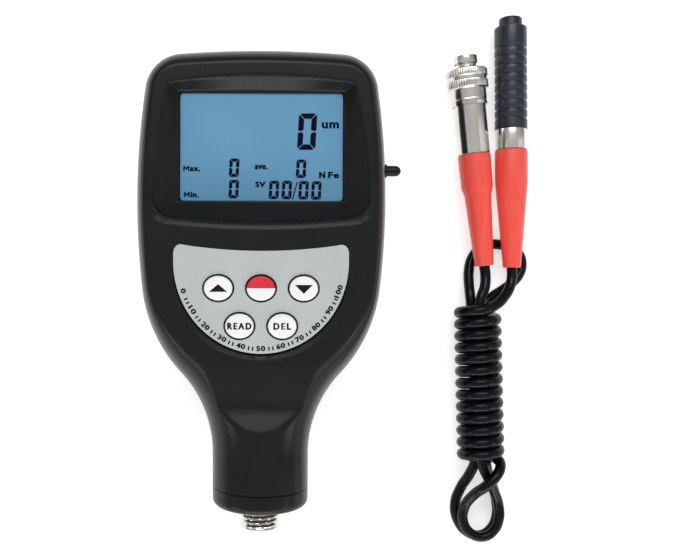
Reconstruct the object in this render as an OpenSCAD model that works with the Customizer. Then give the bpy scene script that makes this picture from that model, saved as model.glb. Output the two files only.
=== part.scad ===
// Hand-held coating thickness gauge lying on its back, with its probe lead beside it.
// Millimetres. X to the right, Y towards the display end, Z up. Origin on the table under the case.

/* [Case] */
// Width of the case at its widest line
case_w = 67.8; // [66:0.1:74]
// Height of the widest line above the origin
wide_y = 21.5; // [18:0.5:25]
// Distance from the origin to the top end
top_y = 61.6; // [60:0.1:66]
// Diameter of the neck
neck_d = 26.4; // [25:0.1:28]
// Distance from the origin down to the neck's seam
neck_end = 57.4; // [54:0.1:62]
// Height of the front half above the parting plane
front_h = 14.8; // [14:0.1:16]
// Depth of the rear half below the parting plane
rear_h = 15; // [15:0.1:17]
// Wall thickness of both shells
wall = 2; // [1.8:0.1:2.2]
// Plan radius of the long side
side_r = 215; // [190:1:260]
// Plan radius of the shoulder
shoulder_r = 40; // [36:1:56]
// Plan radius of the waist above the neck
waist_r = 33; // [28:1:36]
// Plan radius of the top corners
corner_r = 11; // [8:0.1:12]
// Plan radius of the top edge
top_r = 290; // [250:1:330]
// Width of the rounded edge along the sides
edge_side = 4; // [3.8:0.1:4.4]
// Width of the rounded edge along the top end
edge_top = 5.8; // [5:0.1:5.8]

/* [End cap and socket] */
// Length of the end cap beyond the seam
cap_l = 5.4; // [4:0.1:6]
// Edge radius of the end cap
cap_edge = 2.2; // [1:0.1:3]
// Outside diameter of the socket's thread
thread_d = 10.8; // [9:0.1:11]
// Length of the socket's collar beyond the end cap
collar_l = 6.2; // [5:0.1:8]
// Inside diameter of the socket
socket_bore_d = 7; // [6.6:0.1:7.4]
// Depth of the socket's free bore
socket_depth = 4.6; // [4:0.1:5.2]
// Diameter of one socket contact
contact_d = 1; // [0.8:0.1:1.2]

/* [Display] */
// Width of the window
window_w = 43; // [40:0.5:45]
// Height of the window
window_l = 28.4; // [26:0.2:30]
// Centre of the window above the origin
window_y = 34.5; // [33.5:0.1:35.5]
// Depth of the display recess below the front face
recess_d = 3.4; // [2.6:0.1:4]
// Width of the recess at its top
recess_top_w = 49; // [47:0.5:51]
// Width of the recess at its foot
recess_foot_w = 58; // [56:0.2:58.4]
// Height of the recess's top corners above the origin
recess_top_y = 50.6; // [50:0.1:52]
// Rise of the recess's arched top edge
recess_arch = 2.2; // [1:0.1:3]
// Height of the recess's foot above the origin
recess_foot_y = 14; // [13.6:0.1:15]
// Height of the raised lip at the recess's foot
lip_h = 1.5; // [1:0.1:2]
// Sag of the recess's foot towards the middle
foot_arch = 1.2; // [0:0.1:1.6]
// Thickness of the window
window_t = 0.8; // [0.6:0.1:1]

/* [Keypad] */
// Half width of the label
label_a = 22.8; // [21:0.1:24]
// Half height of the label's round foot
label_b = 24; // [22:0.1:25]
// Centre line of the label's round foot
label_y = 4.2; // [3.8:0.1:4.6]
// Thickness of the label
label_t = 0.4; // [0.3:0.05:0.6]
// Width of a key
key_w = 7.4; // [7:0.1:9]
// Height of a key
key_l = 6.4; // [6:0.1:8.2]
// Sideways spacing of the keys
key_pitch = 11.1; // [10.6:0.1:12]
// Height of the upper key row
key_row_1 = -2.8; // [-3.2:0.1:-2.4]
// Height of the lower key row
key_row_2 = -12.6; // [-13:0.1:-12.2]
// Travel of a key
key_travel = 0.5; // [0.3:0.05:0.6]
// Height of a key above the front face
key_rise = 0.7; // [0.5:0.1:1]

/* [Thumb rest] */
// Height of the valley line, along the case
rest_y = -35.4; // [-37:0.1:-34]
// Depth of the valley below the neck's crest line
rest_d = 1.1; // [0.8:0.05:1.2]
// Slope of the upper face
rest_up = 0.165; // [0.15:0.005:0.2]
// Slope of the lower face
rest_down = 0.22; // [0.18:0.01:0.3]

/* [Battery bay] */
// Diameter of a cell
cell_d = 10.4; // [10:0.1:10.5]
// Length of a cell without its button
cell_l = 43.7; // [43:0.1:44]
// Spacing of the cells
cell_pitch = 10.8; // [10.7:0.05:11]
// Height of the bay's lower end above the origin
bay_y = 4.2; // [4:0.1:4.6]
// Length of a contact spring
cell_spring_l = 4.2; // [3.6:0.1:5]
// Thickness of the battery door
door_t = 1.5; // [1.3:0.1:1.6]
// Depth of the door's face below the rear face
door_sunk = 0.3; // [0.2:0.05:0.4]

/* [Side jack] */
// Height of the jack above the origin
jack_y = 29.7; // [28:0.1:32]
// Bore of the jack
jack_bore_d = 2.6; // [2.4:0.1:2.8]
// Diameter of the dust plug's grip
dust_d = 3; // [2.6:0.1:3.6]
// Length of the dust plug's grip
dust_l = 4; // [3:0.1:6]

/* [Probe] */
// Outside diameter of the sleeve
sleeve_d = 9.1; // [8.8:0.1:9.6]
// Length of the sleeve
sleeve_l = 29.8; // [28:0.1:33]
// Grip grooves on the sleeve
groove_n = 9; // [6:1:10]
// Spacing of the grip grooves
groove_pitch = 2.55; // [2.3:0.05:2.6]
// Depth of a grip groove
groove_d = 0.4; // [0.2:0.05:0.6]
// Diameter of the nose
nose_d = 6.5; // [6.2:0.1:6.8]
// Travel of the nose
nose_travel = 2; // [1:0.1:2.2]
// Diameter of the sensor pole
pole_d = 1.5; // [1.2:0.1:2]
// Length of the bright collar
band_l = 5.8; // [4:0.1:8]
// Length of a boot on the probe
boot_l = 34; // [30:0.5:36]
// Small end diameter of both boots
boot_end_d = 5.6; // [5.2:0.1:6]

/* [Plug] */
// Outside diameter of the knurled rings
nut_d = 12.2; // [12:0.1:12.6]
// Length of the coupling nut
nut_l = 10.4; // [10:0.1:14]
// Length of one knurled ring
ring_l = 2.2; // [1.8:0.1:2.6]
// Length of the barrel between boot and nut
barrel_l = 13.8; // [12:0.1:16]
// Diameter of the barrel
barrel_d = 9.1; // [8.8:0.1:9.2]
// Length of the plug's boot
plug_boot_l = 32.3; // [30:0.1:36]
// Diameter of the plug's tip shell
tip_d = 6.8; // [6.6:0.1:6.9]
// Length of the tip shell in front of the nut
tip_out = 4; // [3:0.1:4.2]

/* [Cord] */
// Diameter of the cord
cord_d = 3; // [2.8:0.05:3]
// Outside diameter of the wound hank
hank_d = 13.2; // [12.8:0.1:13.2]

/* [Fits] */
// Gap round a key in its hole
key_gap = 0.2; // [0.1:0.05:0.3]
// Gap round pieces that are set in a pocket
set_gap = 0.1; // [0.05:0.05:0.15]
// Radial gap of pieces that turn or slide on each other
run_gap = 0.05; // [0.03:0.01:0.08]

/* [Hidden] */
$fn = 48;
eps = 0.01;

part_z = rear_h;
face_z = part_z + front_h;
neck_r = neck_d / 2;
crest_z = part_z + neck_r;
in_z = face_z - wall;

// Plan outline of the case, built from tangent arcs.
side_turn = 6.7;
turn_a = acos((side_r * (1 - cos(side_turn)) + shoulder_r * cos(side_turn) + waist_r
    - (case_w / 2 - neck_r)) / (shoulder_r + waist_r));
side_c = [case_w / 2 - side_r, wide_y];
shoulder_c = side_c + (side_r - shoulder_r) * [cos(side_turn), -sin(side_turn)];
waist_c = shoulder_c + (shoulder_r + waist_r) * [cos(turn_a), -sin(turn_a)];
neck_y = waist_c[1];
top_c = [0, top_y - top_r];
corner_c = meet(side_c, side_r - corner_r, top_c, top_r - corner_r);
a_side = atan2(corner_c[1] - side_c[1], corner_c[0] - side_c[0]);
a_top = atan2(corner_c[1] - top_c[1], corner_c[0] - top_c[0]);
top_gap = 1;
steps = 7;

stations = concat(
    [[neck_r, -neck_end, 1, 0]],
    [[neck_r, neck_y, 1, 0]],
    arc(waist_c, waist_r, 180, 180 - turn_a, 7, -1),
    arc(shoulder_c, shoulder_r, -turn_a, -side_turn, 6, 1),
    arc(side_c, side_r, -side_turn, a_side, 8, 1),
    arc(corner_c, corner_r, a_side, a_top, 6, 1),
    arc(top_c, top_r, a_top, acos(top_gap / top_r), 4, 1));
n_st = len(stations);

// Window, keys and label levels.
floor_z = face_z - recess_d;
lcd_z = floor_z - wall;
board_z = part_z + 0.6;
board_t = 1.6;
deck_z = board_z + board_t + set_gap;
lcd_t = 2;
key_flange_t = 0.7;
key_rest_z = in_z - 0.2;
switch_z = key_rest_z - key_flange_t - key_travel - 0.3;
switch_t = 2.5;
keyboard_t = 1.4;
keyboard_z = switch_z - switch_t - keyboard_t;
keys = [[-key_pitch, key_row_1], [0, key_row_1], [key_pitch, key_row_1],
    [-key_pitch / 2, key_row_2], [key_pitch / 2, key_row_2]];
spacers = [[-16.5, 3.4], [16.5, 3.4], [-14.5, -11.5], [14.5, -11.5]];
spacer_r = 1.6;
screw_r = 1.2;
head_r = 2.1;
head_t = 1.8;
head_z = 2.4;
boss_r = 2.6;

// Battery bay.
button_l = 0.8;
plate_t = 0.5;
bay_l = cell_l + button_l + cell_spring_l + 2 * plate_t;
door_w = 44;
door_rim = 1.5;
door_rim_t = 0.7;
door_gap = 0.2;
door_y0 = bay_y - 1.6;
door_y1 = top_y - edge_top + 0.8;
rear_step = -9;
rear_run = 9;
tray_w = 2 * (door_w / 2 + door_rim + 2 * door_gap + 0.5);
tray_wall = 1.2;
screw_clear = 0.3;
screw_x = tray_w / 2 + boss_r + screw_clear;
screw_in_x = screw_x - screw_clear;
screws = [[-screw_x, 47], [screw_x, 47], [-screw_in_x, -3], [screw_in_x, -3]];
tray_top = part_z + 0.5;
cell_z = wall + 0.7 + cell_d / 2;
jack_clear = 1.8;
jack_back = 1;
jack_in_x = tray_w / 2 + jack_clear;
board_in = 10.5;

// Socket, measured down the neck from the origin.
cap_y = neck_end + cap_l;
collar_y = cap_y + collar_l;
socket_flange_r = thread_d / 2 + 2;
spigot_l = 3;
spigot_r = neck_r - wall - set_gap;
socket_in_y = neck_end - 1.2;
relief = 0.2;
shank_r = thread_d / 2 - 0.8;
insert_r = socket_bore_d / 2 - 0.2;

// Probe and plug axes.
probe_at = [72.2, 3.1, 6.75];
probe_dip = asin((probe_at[2] - sleeve_d / 2 - 0.1) / (boot_l + band_l + sleeve_l));
plug_at = [64.4, 3.6, 6.4];
plug_lean = 5.5;
plug_dip = asin((plug_at[2] - nut_d / 2 - 0.1) / (plug_boot_l + barrel_l + nut_l));
s_band = boot_l;
s_sleeve = s_band + band_l;
s_front = s_sleeve + sleeve_l;
s_nose = s_front + nose_travel + 0.8;
lip_l = 4;
flange_l = 3.2;
bore_r = nose_d / 2 + 0.65;
s_flange = s_front - lip_l - 0.1 - flange_l;
band_in = 7.2;
boot_grip = 11;
p_barrel = plug_boot_l;
p_nut = p_barrel + barrel_l;
p_ring = p_nut + nut_l - 2 * ring_l - 0.9;
p_front = p_nut + nut_l;
nut_bore_r = thread_d / 2 + run_gap;
p_thread = p_ring + 0.5;
p_tip = p_front + tip_out;

// Lead: hand-chosen points on the middle of the cord.
hank_top = [62.3, -7, 6.7];
hank_foot = [63.5, -54, 6.7];
plug_run = [[64.406, 3.54, 6.4], [64.7, 0.8, 6.5], [64.3, -2.4, 7.3], [63.2, -5, 8.1], [62.4, -8, 8.4]];
top_run = [[60.8, -8, 5.8], [60.6, -5, 5.4], [60.6, -1.6, 4], [60.9, 2.2, 2.6], [62, 5.8, 1.6],
    [64.2, 8.5, 1.5], [67.2, 9.9, 1.5], [70.6, 9.9, 1.5], [73.8, 8.9, 1.5], [76, 7, 1.5],
    [76.7, 4.4, 1.5], [76, 1.6, 1.9], [73.8, -1, 2.6], [70.6, -3.2, 3.8], [67, -5.4, 5], [64.4, -8, 5.8]];
lower_run = [[62, -53, 5.8], [60.8, -57, 4.4], [58.8, -61.4, 2.4], [57.4, -66.4, 1.5], [58.2, -71.2, 1.5],
    [61.2, -74.8, 1.5], [64.6, -75.6, 1.5], [67.8, -73.8, 1.5], [69.6, -70, 1.5], [69.5, -65.4, 1.5],
    [68.2, -60.8, 2.2], [66.4, -56.8, 4], [65.2, -53, 5.8]];
upper_run = [[63.5, -53, 8.4], [65.4, -57.4, 7.8], [67.6, -61.6, 6], [69.2, -65.6, 4.7], [69.4, -69.8, 4.6],
    [67.7, -73.5, 4.6], [64.6, -75.1, 4.6], [61.2, -74, 4.6], [59, -70.6, 4.6], [59.2, -66.2, 5.4],
    [61.2, -62, 8], [64, -58.6, 11], [66.8, -55.8, 11], [68.6, -53.4, 8.8]];
probe_run = [[72.2, 3.04, 6.752], [72.2, 0.6, 6.9], [71.4, -2.4, 7.6], [69.4, -5.2, 9], [66.4, -7.6, 10.6]];

function meet(p, r, q, s) =
    let (d = norm(q - p), a = (r * r - s * s + d * d) / (2 * d), h = sqrt(r * r - a * a), u = (q - p) / d)
    p + a * u + h * [-u[1], u[0]] * (p[0] + a * u[0] - h * u[1] > 0 ? 1 : -1);
function arc(c, r, a, b, n, s) =
    [for (i = [1:n]) let (t = a + (b - a) * i / n)
        [c[0] + r * cos(t), c[1] + r * sin(t), s * cos(t), s * sin(t)]];
function ease(t) = let (u = min(max(t, 0), 1)) u * u * (3 - 2 * u);
function mix(a, b, t) = a + (b - a) * t;
function edge(st) =
    let (e = mix(edge_side, edge_top, max(st[3], 0)))
    mix(e, neck_r - 0.2, ease(-st[1] / -neck_y));
function rise(y, up) = up > 0
    ? mix(front_h, neck_r, ease((-20 - y) / (-20 - neck_y)))
    : mix(rear_h, neck_r, ease((rear_step - y) / rear_run));
function section(st, up, t) =
    let (e = edge(st), h = rise(st[1] - e * st[3], up))
    [for (k = [0:steps]) let (a = 90 * k / steps, d = t + (e - t) * (1 - cos(a)))
        [st[0] - d * st[2], st[1] - d * st[3], part_z + up * (h - t) * sin(a)]];
function mirrored(p) = [-p[0], p[1], p[2]];
function quad(a, b, c, d, flip) = flip ? [[a, d, c], [a, c, b]] : [[a, b, c], [a, c, d]];
function at(f, s, j, k) = ((f * 2 + s) * n_st + j) * (steps + 1) + k;

// Closed skin of one half of the case: outer face, inner face, rim and neck end.
module half_case(up) {
    pts = [for (f = [0, 1]) for (s = [0, 1]) for (st = stations) for (p = section(st, up, f * wall))
        s == 0 ? p : mirrored(p)];
    f0 = up < 0;
    last = n_st - 1;
    grid = [for (f = [0, 1]) for (s = [0, 1]) for (j = [0:n_st - 2]) for (k = [0:steps - 1])
        each quad(at(f, s, j, k), at(f, s, j, k + 1), at(f, s, j + 1, k + 1), at(f, s, j + 1, k),
            (f + s) % 2 == 1 ? !f0 : f0)];
    strip = [for (f = [0, 1]) for (j = [0:n_st - 2])
        each quad(at(f, 1, j, steps), at(f, 1, j + 1, steps), at(f, 0, j + 1, steps), at(f, 0, j, steps),
            f == 1 ? !f0 : f0)];
    close = [for (f = [0, 1]) for (k = [0:steps - 1])
        each quad(at(f, 0, last, k), at(f, 0, last, k + 1), at(f, 1, last, k + 1), at(f, 1, last, k),
            f == 1 ? !f0 : f0)];
    rim = [for (s = [0, 1]) for (j = [0:n_st - 2])
        each quad(at(0, s, j, 0), at(0, s, j + 1, 0), at(1, s, j + 1, 0), at(1, s, j, 0),
            s == 1 ? !f0 : f0)];
    rim_top = quad(at(0, 0, last, 0), at(0, 1, last, 0), at(1, 1, last, 0), at(1, 0, last, 0), f0);
    mouth = [for (s = [0, 1]) for (k = [0:steps - 1])
        each quad(at(0, s, 0, k), at(1, s, 0, k), at(1, s, 0, k + 1), at(0, s, 0, k + 1),
            s == 1 ? !f0 : f0)];
    mouth_top = quad(at(0, 1, 0, steps), at(0, 0, 0, steps), at(1, 0, 0, steps), at(1, 1, 0, steps), f0);
    polyhedron(pts, concat(grid, strip, close, rim, rim_top, mouth, mouth_top));
}

// Smooth route through points, and a tube swept along it.
function curve_at(p, q, r, s, t) =
    0.5 * (2 * q + (r - p) * t + (2 * p - 5 * q + 4 * r - s) * t * t + (3 * q - p - 3 * r + s) * t * t * t);
function smooth(p, m) =
    let (n = len(p), g = concat([2 * p[0] - p[1]], p, [2 * p[n - 1] - p[n - 2]]))
    concat([for (i = [0:n - 2]) for (j = [0:m - 1])
        curve_at(g[i], g[i + 1], g[i + 2], g[i + 3], j / m)], [p[n - 1]]);
function unit(v) = v / norm(v);
function heading(p, i) = unit(p[min(i + 1, len(p) - 1)] - p[max(i - 1, 0)]);
function side_of(p, ref, i) = unit(cross(heading(p, i), ref));
module tube(p, r, sides, ref) {
    n = len(p);
    pts = [for (i = [0:n - 1]) let (u = side_of(p, ref, i), v = cross(heading(p, i), u))
        for (k = [0:sides - 1]) let (a = 360 * k / sides) p[i] + r * (cos(a) * u + sin(a) * v)];
    walls = [for (i = [0:n - 2]) for (k = [0:sides - 1])
        each quad(i * sides + k, (i + 1) * sides + k, (i + 1) * sides + (k + 1) % sides,
            i * sides + (k + 1) % sides, false)];
    ends = [for (k = [1:sides - 2]) each [[0, k, k + 1],
        [(n - 1) * sides, (n - 1) * sides + k + 1, (n - 1) * sides + k]]];
    polyhedron(pts, concat(walls, ends));
}

// Small helpers.
module down_neck() {
    translate([0, 0, part_z]) rotate([90, 0, 0]) children();
}
module on_probe() {
    translate(probe_at) rotate([-90 - probe_dip, 0, 0]) children();
}
module on_plug() {
    translate(plug_at) rotate([-90 - plug_dip, 0, plug_lean]) children();
}
module turned(pts) {
    rotate_extrude() polygon(pts);
}
module ring(r0, r1, a, b) {
    turned([[r0, a], [r1, a], [r1, b], [r0, b]]);
}
module bar(r, a, b) {
    translate([0, 0, a]) cylinder(r = r, h = b - a);
}
module box(x, y, z) {
    translate([x[0], y[0], z[0]]) cube([x[1] - x[0], y[1] - y[0], z[1] - z[0]]);
}
module oval(a, b, z0, z1) {
    translate([0, 0, z0]) linear_extrude(z1 - z0) polygon([for (i = [0:39]) [a * cos(9 * i), b * sin(9 * i)]]);
}
module plate(w, l, r, z0, z1) {
    q = [[1, 1, 0], [-1, 1, 90], [-1, -1, 180], [1, -1, 270]];
    translate([0, 0, z0]) linear_extrude(z1 - z0) polygon([for (c = q) for (i = [0:3])
        [c[0] * (w / 2 - r) + r * cos(c[2] + 30 * i), c[1] * (l / 2 - r) + r * sin(c[2] + 30 * i)]]);
}
module window_plate(m, z0, z1) {
    translate([0, window_y, 0]) plate(window_w + 2 * m, window_l + 2 * m, 1, z0, z1);
}
function foot_pts(f, r, y) = concat(
    [for (i = [0:4]) [f - r + r * cos(22.5 * i), y + foot_arch + r - r * sin(22.5 * i)]],
    [for (i = [3:-1:-3]) [(f - r) * i / 4, y + foot_arch * i * i / 16]],
    [for (i = [4:-1:0]) [r - f - r * cos(22.5 * i), y + foot_arch + r - r * sin(22.5 * i)]]);
module recess_plate(m, z0, z1) {
    t = recess_top_w / 2 + m;
    f = recess_foot_w / 2 + m;
    r = 5;
    top = [for (i = [-4:4]) [t * i / 4, recess_top_y + m + recess_arch * (1 - i * i / 16)]];
    translate([0, 0, z0]) linear_extrude(z1 - z0) polygon(concat(top, foot_pts(f, r, recess_foot_y - m)));
}
module lip() {
    f = recess_foot_w / 2 + 0.6;
    r = 6;
    y0 = recess_foot_y - 1.7;
    y1 = y0 + 24;
    intersection() {
        translate([0, 0, in_z + 0.6]) linear_extrude(5)
            polygon(concat([[-f, y1], [f, y1]], foot_pts(f, r, y0)));
        rotate([90, 0, 90]) translate([0, 0, -40]) linear_extrude(80)
            polygon([[y0 - 1, in_z], [y1 + 1, in_z], [y1 + 1, face_z - 0.2], [y0 - 1, face_z + lip_h]]);
    }
}
function label_pts(m) = concat(
    [for (i = [0:18]) [(label_a + m) * cos(-10 * i), label_y + (label_b + m) * sin(-10 * i)]],
    [[-label_a - m, label_y + 2.4], [-label_a + 0.5 - m, label_y + 3.8 + m], [-label_a + 1.6, label_y + 4.4 + m]],
    [for (i = [-3:3]) [i * (label_a - 2) / 3.4, label_y + 2.7 + m + 1.6 * i * i / 11.5]],
    [[label_a - 1.6, label_y + 4.4 + m], [label_a - 0.5 + m, label_y + 3.8 + m], [label_a + m, label_y + 2.4]]);
module label_plate(m, z0, z1) {
    translate([0, 0, z0]) linear_extrude(z1 - z0) polygon(label_pts(m));
}
module valley(z, top, half) {
    rotate([90, 0, 90]) translate([0, 0, -half]) linear_extrude(2 * half)
        polygon([[rest_y + (top - z) / rest_up, top], [rest_y, z], [rest_y - (top - z) / rest_down, top]]);
}
module at_keys(g) {
    for (k = keys) translate([k[0], k[1], 0]) oval(key_w / 2 + g, key_l / 2 + g, in_z - 1, face_z + 1);
}
module at_jack(r, a, b) {
    translate([0, jack_y, part_z]) rotate([0, 90, 0]) bar(r, a, b);
}

// Case.
module front_shell() {
    rest_z = crest_z - rest_d;
    color("#2a2c2b") difference() {
        union() {
            half_case(1);
            hull() {
                window_plate(1.2, lcd_z, lcd_z + 0.2);
                recess_plate(0.8, in_z - 0.3, in_z + 0.1);
            }
            lip();
            for (p = screws) translate([p[0], p[1], 0]) bar(boss_r, part_z, in_z + 0.3);
        }
        hull() {
            window_plate(0.4, floor_z, floor_z + 0.1);
            recess_plate(0, face_z, face_z + 4);
        }
        window_plate(set_gap, lcd_z - 1, floor_z + 1);
        label_plate(set_gap, face_z - label_t, face_z + 1);
        at_keys(key_gap);
        valley(rest_z, face_z + 3, 20);
        for (p = screws) translate([p[0], p[1], 0]) bar(screw_r + run_gap, part_z - 1, part_z + 8);
        at_jack(2.05, 20, 40);
    }
}
module rear_shell() {
    dw = door_w / 2 + door_gap;
    dr = dw + door_rim;
    y0 = door_y0 - door_gap;
    y1 = top_y + 2;
    color("#2a2c2b") difference() {
        union() {
            half_case(-1);
            for (p = screws) translate([p[0], p[1], 0]) bar(boss_r + 0.1, wall - 0.1, part_z);
        }
        box([-dw, dw], [y0, y1], [-1, wall + 0.05]);
        box([-dr, dr], [y0, y1], [door_sunk + door_t - door_rim_t - door_gap, wall + 0.05]);
        for (p = screws) translate([p[0], p[1], 0]) {
            bar(screw_r + run_gap, -1, part_z + 1);
            bar(head_r + set_gap, -1, head_z + head_t + set_gap);
        }
        at_jack(2.05, 20, 40);
    }
}
module end_cap() {
    e = cap_edge;
    color("#2a2c2b") down_neck() turned(concat(
        [[shank_r + run_gap, neck_end], [socket_flange_r + set_gap, neck_end],
            [socket_flange_r + set_gap, neck_end - spigot_l], [spigot_r, neck_end - spigot_l], [spigot_r, neck_end],
            [neck_r, neck_end]],
        [for (i = [0:6]) [neck_r - e + e * cos(15 * i), cap_y - e + e * sin(15 * i)]],
        [[shank_r + run_gap, cap_y]]));
}
module display_window() {
    color("#a9c7da") window_plate(0, floor_z - window_t, floor_z);
}
module lcd_panel() {
    color("#6ba0c8") union() {
        window_plate(0, lcd_z - 0.2, floor_z - window_t - set_gap);
        window_plate(2, lcd_z - set_gap - lcd_t, lcd_z - set_gap);
    }
}
module backlight() {
    h = window_l / 2;
    color("white") box([-window_w / 2 - 1, window_w / 2 + 1], [window_y - h + 1.4, window_y + h + 1],
        [deck_z, lcd_z - lcd_t - 2 * set_gap]);
}
module contact_strip() {
    y = window_y - window_l / 2 - 1.4;
    color("gray") box([-window_w / 2, window_w / 2], [y, y + 2.2], [deck_z, lcd_z - lcd_t - 2 * set_gap]);
}
module main_board() {
    color("#1f6b3a") box([board_in - case_w / 2, case_w / 2 - board_in], [-14, 53],
        [board_z, board_z + board_t]);
}
module board_parts() {
    color("#202020") {
        box([-6, 6], [3, 13], [deck_z - set_gap, deck_z + 1.6]);
        box([10, 16], [6, 12], [deck_z - set_gap, deck_z + 1.4]);
        box([-18, -12], [7, 11], [deck_z - set_gap, deck_z + 1.4]);
        translate([0, -8, 0]) bar(5, deck_z - set_gap, deck_z + 3.4);
    }
}
module board_spacers() {
    color("silver") for (p = spacers) translate([p[0], p[1], 0])
        bar(spacer_r, board_z + board_t, keyboard_z);
}
module keypad_board() {
    color("#1f6b3a") box([-19, 19], [-17, 5.6], [keyboard_z, keyboard_z + keyboard_t]);
}
module key_switches() {
    color("#303030") for (k = keys) translate([k[0], k[1], 0]) {
        box([-2.5, 2.5], [-2.5, 2.5], [keyboard_z + keyboard_t, switch_z - 0.4]);
        bar(1.3, switch_z - 0.5, switch_z);
    }
}
module face_label() {
    color("#bfc4c4") difference() {
        label_plate(0, face_z - label_t, face_z);
        at_keys(key_gap);
    }
}
module key_cap(k, c) {
    a = key_w / 2;
    b = key_l / 2;
    color(c) translate([k[0], k[1], 0]) {
        oval(a + 0.7, b + 0.7, key_rest_z - key_flange_t, key_rest_z);
        oval(a, b, key_rest_z - eps, face_z + key_rise - 0.3);
        oval(a - 0.3, b - 0.3, face_z, face_z + key_rise);
        bar(1.3, key_rest_z - key_flange_t - 0.2, key_rest_z);
    }
}
module key_up() {
    key_cap(keys[0], "#f2f2f0");
}
module key_power() {
    key_cap(keys[1], "#d8402c");
}
module key_down() {
    key_cap(keys[2], "#f2f2f0");
}
module key_read() {
    key_cap(keys[3], "#f2f2f0");
}
module key_delete() {
    key_cap(keys[4], "#f2f2f0");
}
module case_screws() {
    color("silver") for (p = screws) translate([p[0], p[1], 0]) difference() {
        union() {
            bar(head_r, head_z, head_z + head_t);
            bar(screw_r, head_z, part_z + 7);
        }
        box([-1.8, 1.8], [-0.3, 0.3], [head_z - 1, head_z + 0.8]);
        box([-0.3, 0.3], [-1.8, 1.8], [head_z - 1, head_z + 0.8]);
    }
}

// Battery bay.
module battery_door() {
    z1 = door_sunk + door_t;
    y0 = door_y0;
    color("#2a2c2b") difference() {
        union() {
            box([-door_w / 2, door_w / 2], [y0, door_y1], [door_sunk, z1]);
            box([-door_w / 2 - door_rim, door_w / 2 + door_rim], [y0, door_y1], [z1 - door_rim_t, z1]);
        }
        for (i = [0:4]) box([-8, 8], [door_y1 - 6 - 2 * i, door_y1 - 5 - 2 * i], [-1, door_sunk + 0.4]);
    }
}
module battery_tray() {
    w = tray_w / 2;
    y1 = bay_y + bay_l;
    color("#3a3a3a") union() {
        difference() {
            box([-w, w], [bay_y - tray_wall, y1 + tray_wall], [wall + set_gap, tray_top]);
            box([tray_wall - w, w - tray_wall], [bay_y, y1], [0, tray_top - tray_wall]);
        }
        for (i = [-1:1]) box([i * cell_pitch - 0.5, i * cell_pitch + 0.5], [bay_y + 2, y1 - 2],
            [cell_z + 3.2, tray_top - tray_wall + eps]);
    }
}
module cell(i) {
    y = bay_y + plate_t;
    dir = i % 2;
    color("#c9a23a") translate([(i - 1.5) * cell_pitch, y + (dir ? bay_l - 2 * plate_t : 0), cell_z])
        rotate([dir ? 90 : -90, 0, 0]) {
            bar(cell_d / 2, cell_spring_l, cell_spring_l + cell_l);
            bar(1.9, cell_spring_l + cell_l - eps, cell_spring_l + cell_l + button_l);
        }
}
module cell_1() {
    cell(0);
}
module cell_2() {
    cell(1);
}
module cell_3() {
    cell(2);
}
module cell_4() {
    cell(3);
}
module contact_springs() {
    r = 0.3;
    l = cell_spring_l - 2 * r;
    color("silver") for (i = [0:3]) {
        dir = i % 2;
        translate([(i - 1.5) * cell_pitch, dir ? bay_y + bay_l - plate_t : bay_y + plate_t, cell_z])
            rotate([dir ? 90 : -90, 0, 0])
                tube([for (k = [0:24]) let (q = 3.6 - 1.6 * k / 24)
                    [q * cos(45 * k), q * sin(45 * k), r + l * k / 24]], r, 6, [0, 0, 1]);
    }
}
module contact_plates() {
    color("silver") for (s = [-1, 1]) for (e = [0, 1])
        box([s * cell_pitch - 9, s * cell_pitch + 9],
            [bay_y + e * (bay_l - plate_t), bay_y + e * (bay_l - plate_t) + plate_t], [cell_z - 4, cell_z + 4]);
}

// Side jack.
module interface_jack() {
    x1 = case_w / 2 - wall - 0.6;
    color("#303030") difference() {
        union() {
            box([jack_in_x, x1], [jack_y - 3, jack_y + 3], [part_z - 3, part_z + 3]);
            at_jack(1.95, x1 - 1, case_w / 2 - 0.4);
        }
        at_jack(jack_bore_d / 2, jack_in_x + jack_back, 50);
    }
}
module dust_plug() {
    x = case_w / 2;
    r = dust_d / 2;
    pin_x = jack_in_x + jack_back + 0.9;
    color("#202020") translate([0, jack_y, part_z]) rotate([0, 90, 0]) turned(concat(
        [[0, pin_x], [jack_bore_d / 2 - run_gap, pin_x], [jack_bore_d / 2 - run_gap, x],
            [r + 0.4, x], [r + 0.4, x + 0.8], [r, x + 0.8]],
        [for (i = [0:6]) [r * cos(15 * i), x + 0.8 + dust_l - r + r * sin(15 * i)]]));
}

// Probe socket.
module socket_shell() {
    r = thread_d / 2;
    b = socket_bore_d / 2;
    mouth = collar_y - socket_depth;
    color("silver") down_neck() turned([[insert_r, socket_in_y], [socket_flange_r, socket_in_y],
        [socket_flange_r, neck_end - set_gap / 2], [shank_r, neck_end - set_gap / 2], [shank_r, cap_y + relief],
        [r, cap_y + relief], [r, collar_y], [b, collar_y], [b, mouth], [insert_r, mouth]]);
}
module socket_insert() {
    y = collar_y - socket_depth;
    color("#404040") down_neck() difference() {
        bar(insert_r - 0.02, socket_in_y - 2, y);
        for (a = [0:72:288]) rotate(a) translate([1.8, 0, 0]) bar(contact_d / 2, socket_in_y - 5, y + 1);
    }
}
module socket_contacts() {
    y = collar_y - socket_depth - 0.3;
    color("gold") down_neck() for (a = [0:72:288]) rotate(a) translate([1.8, 0, 0]) difference() {
        bar(contact_d / 2 - 0.02, socket_in_y - 4, y);
        bar(contact_d / 4, y - 4, y + 1);
    }
}

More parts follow.
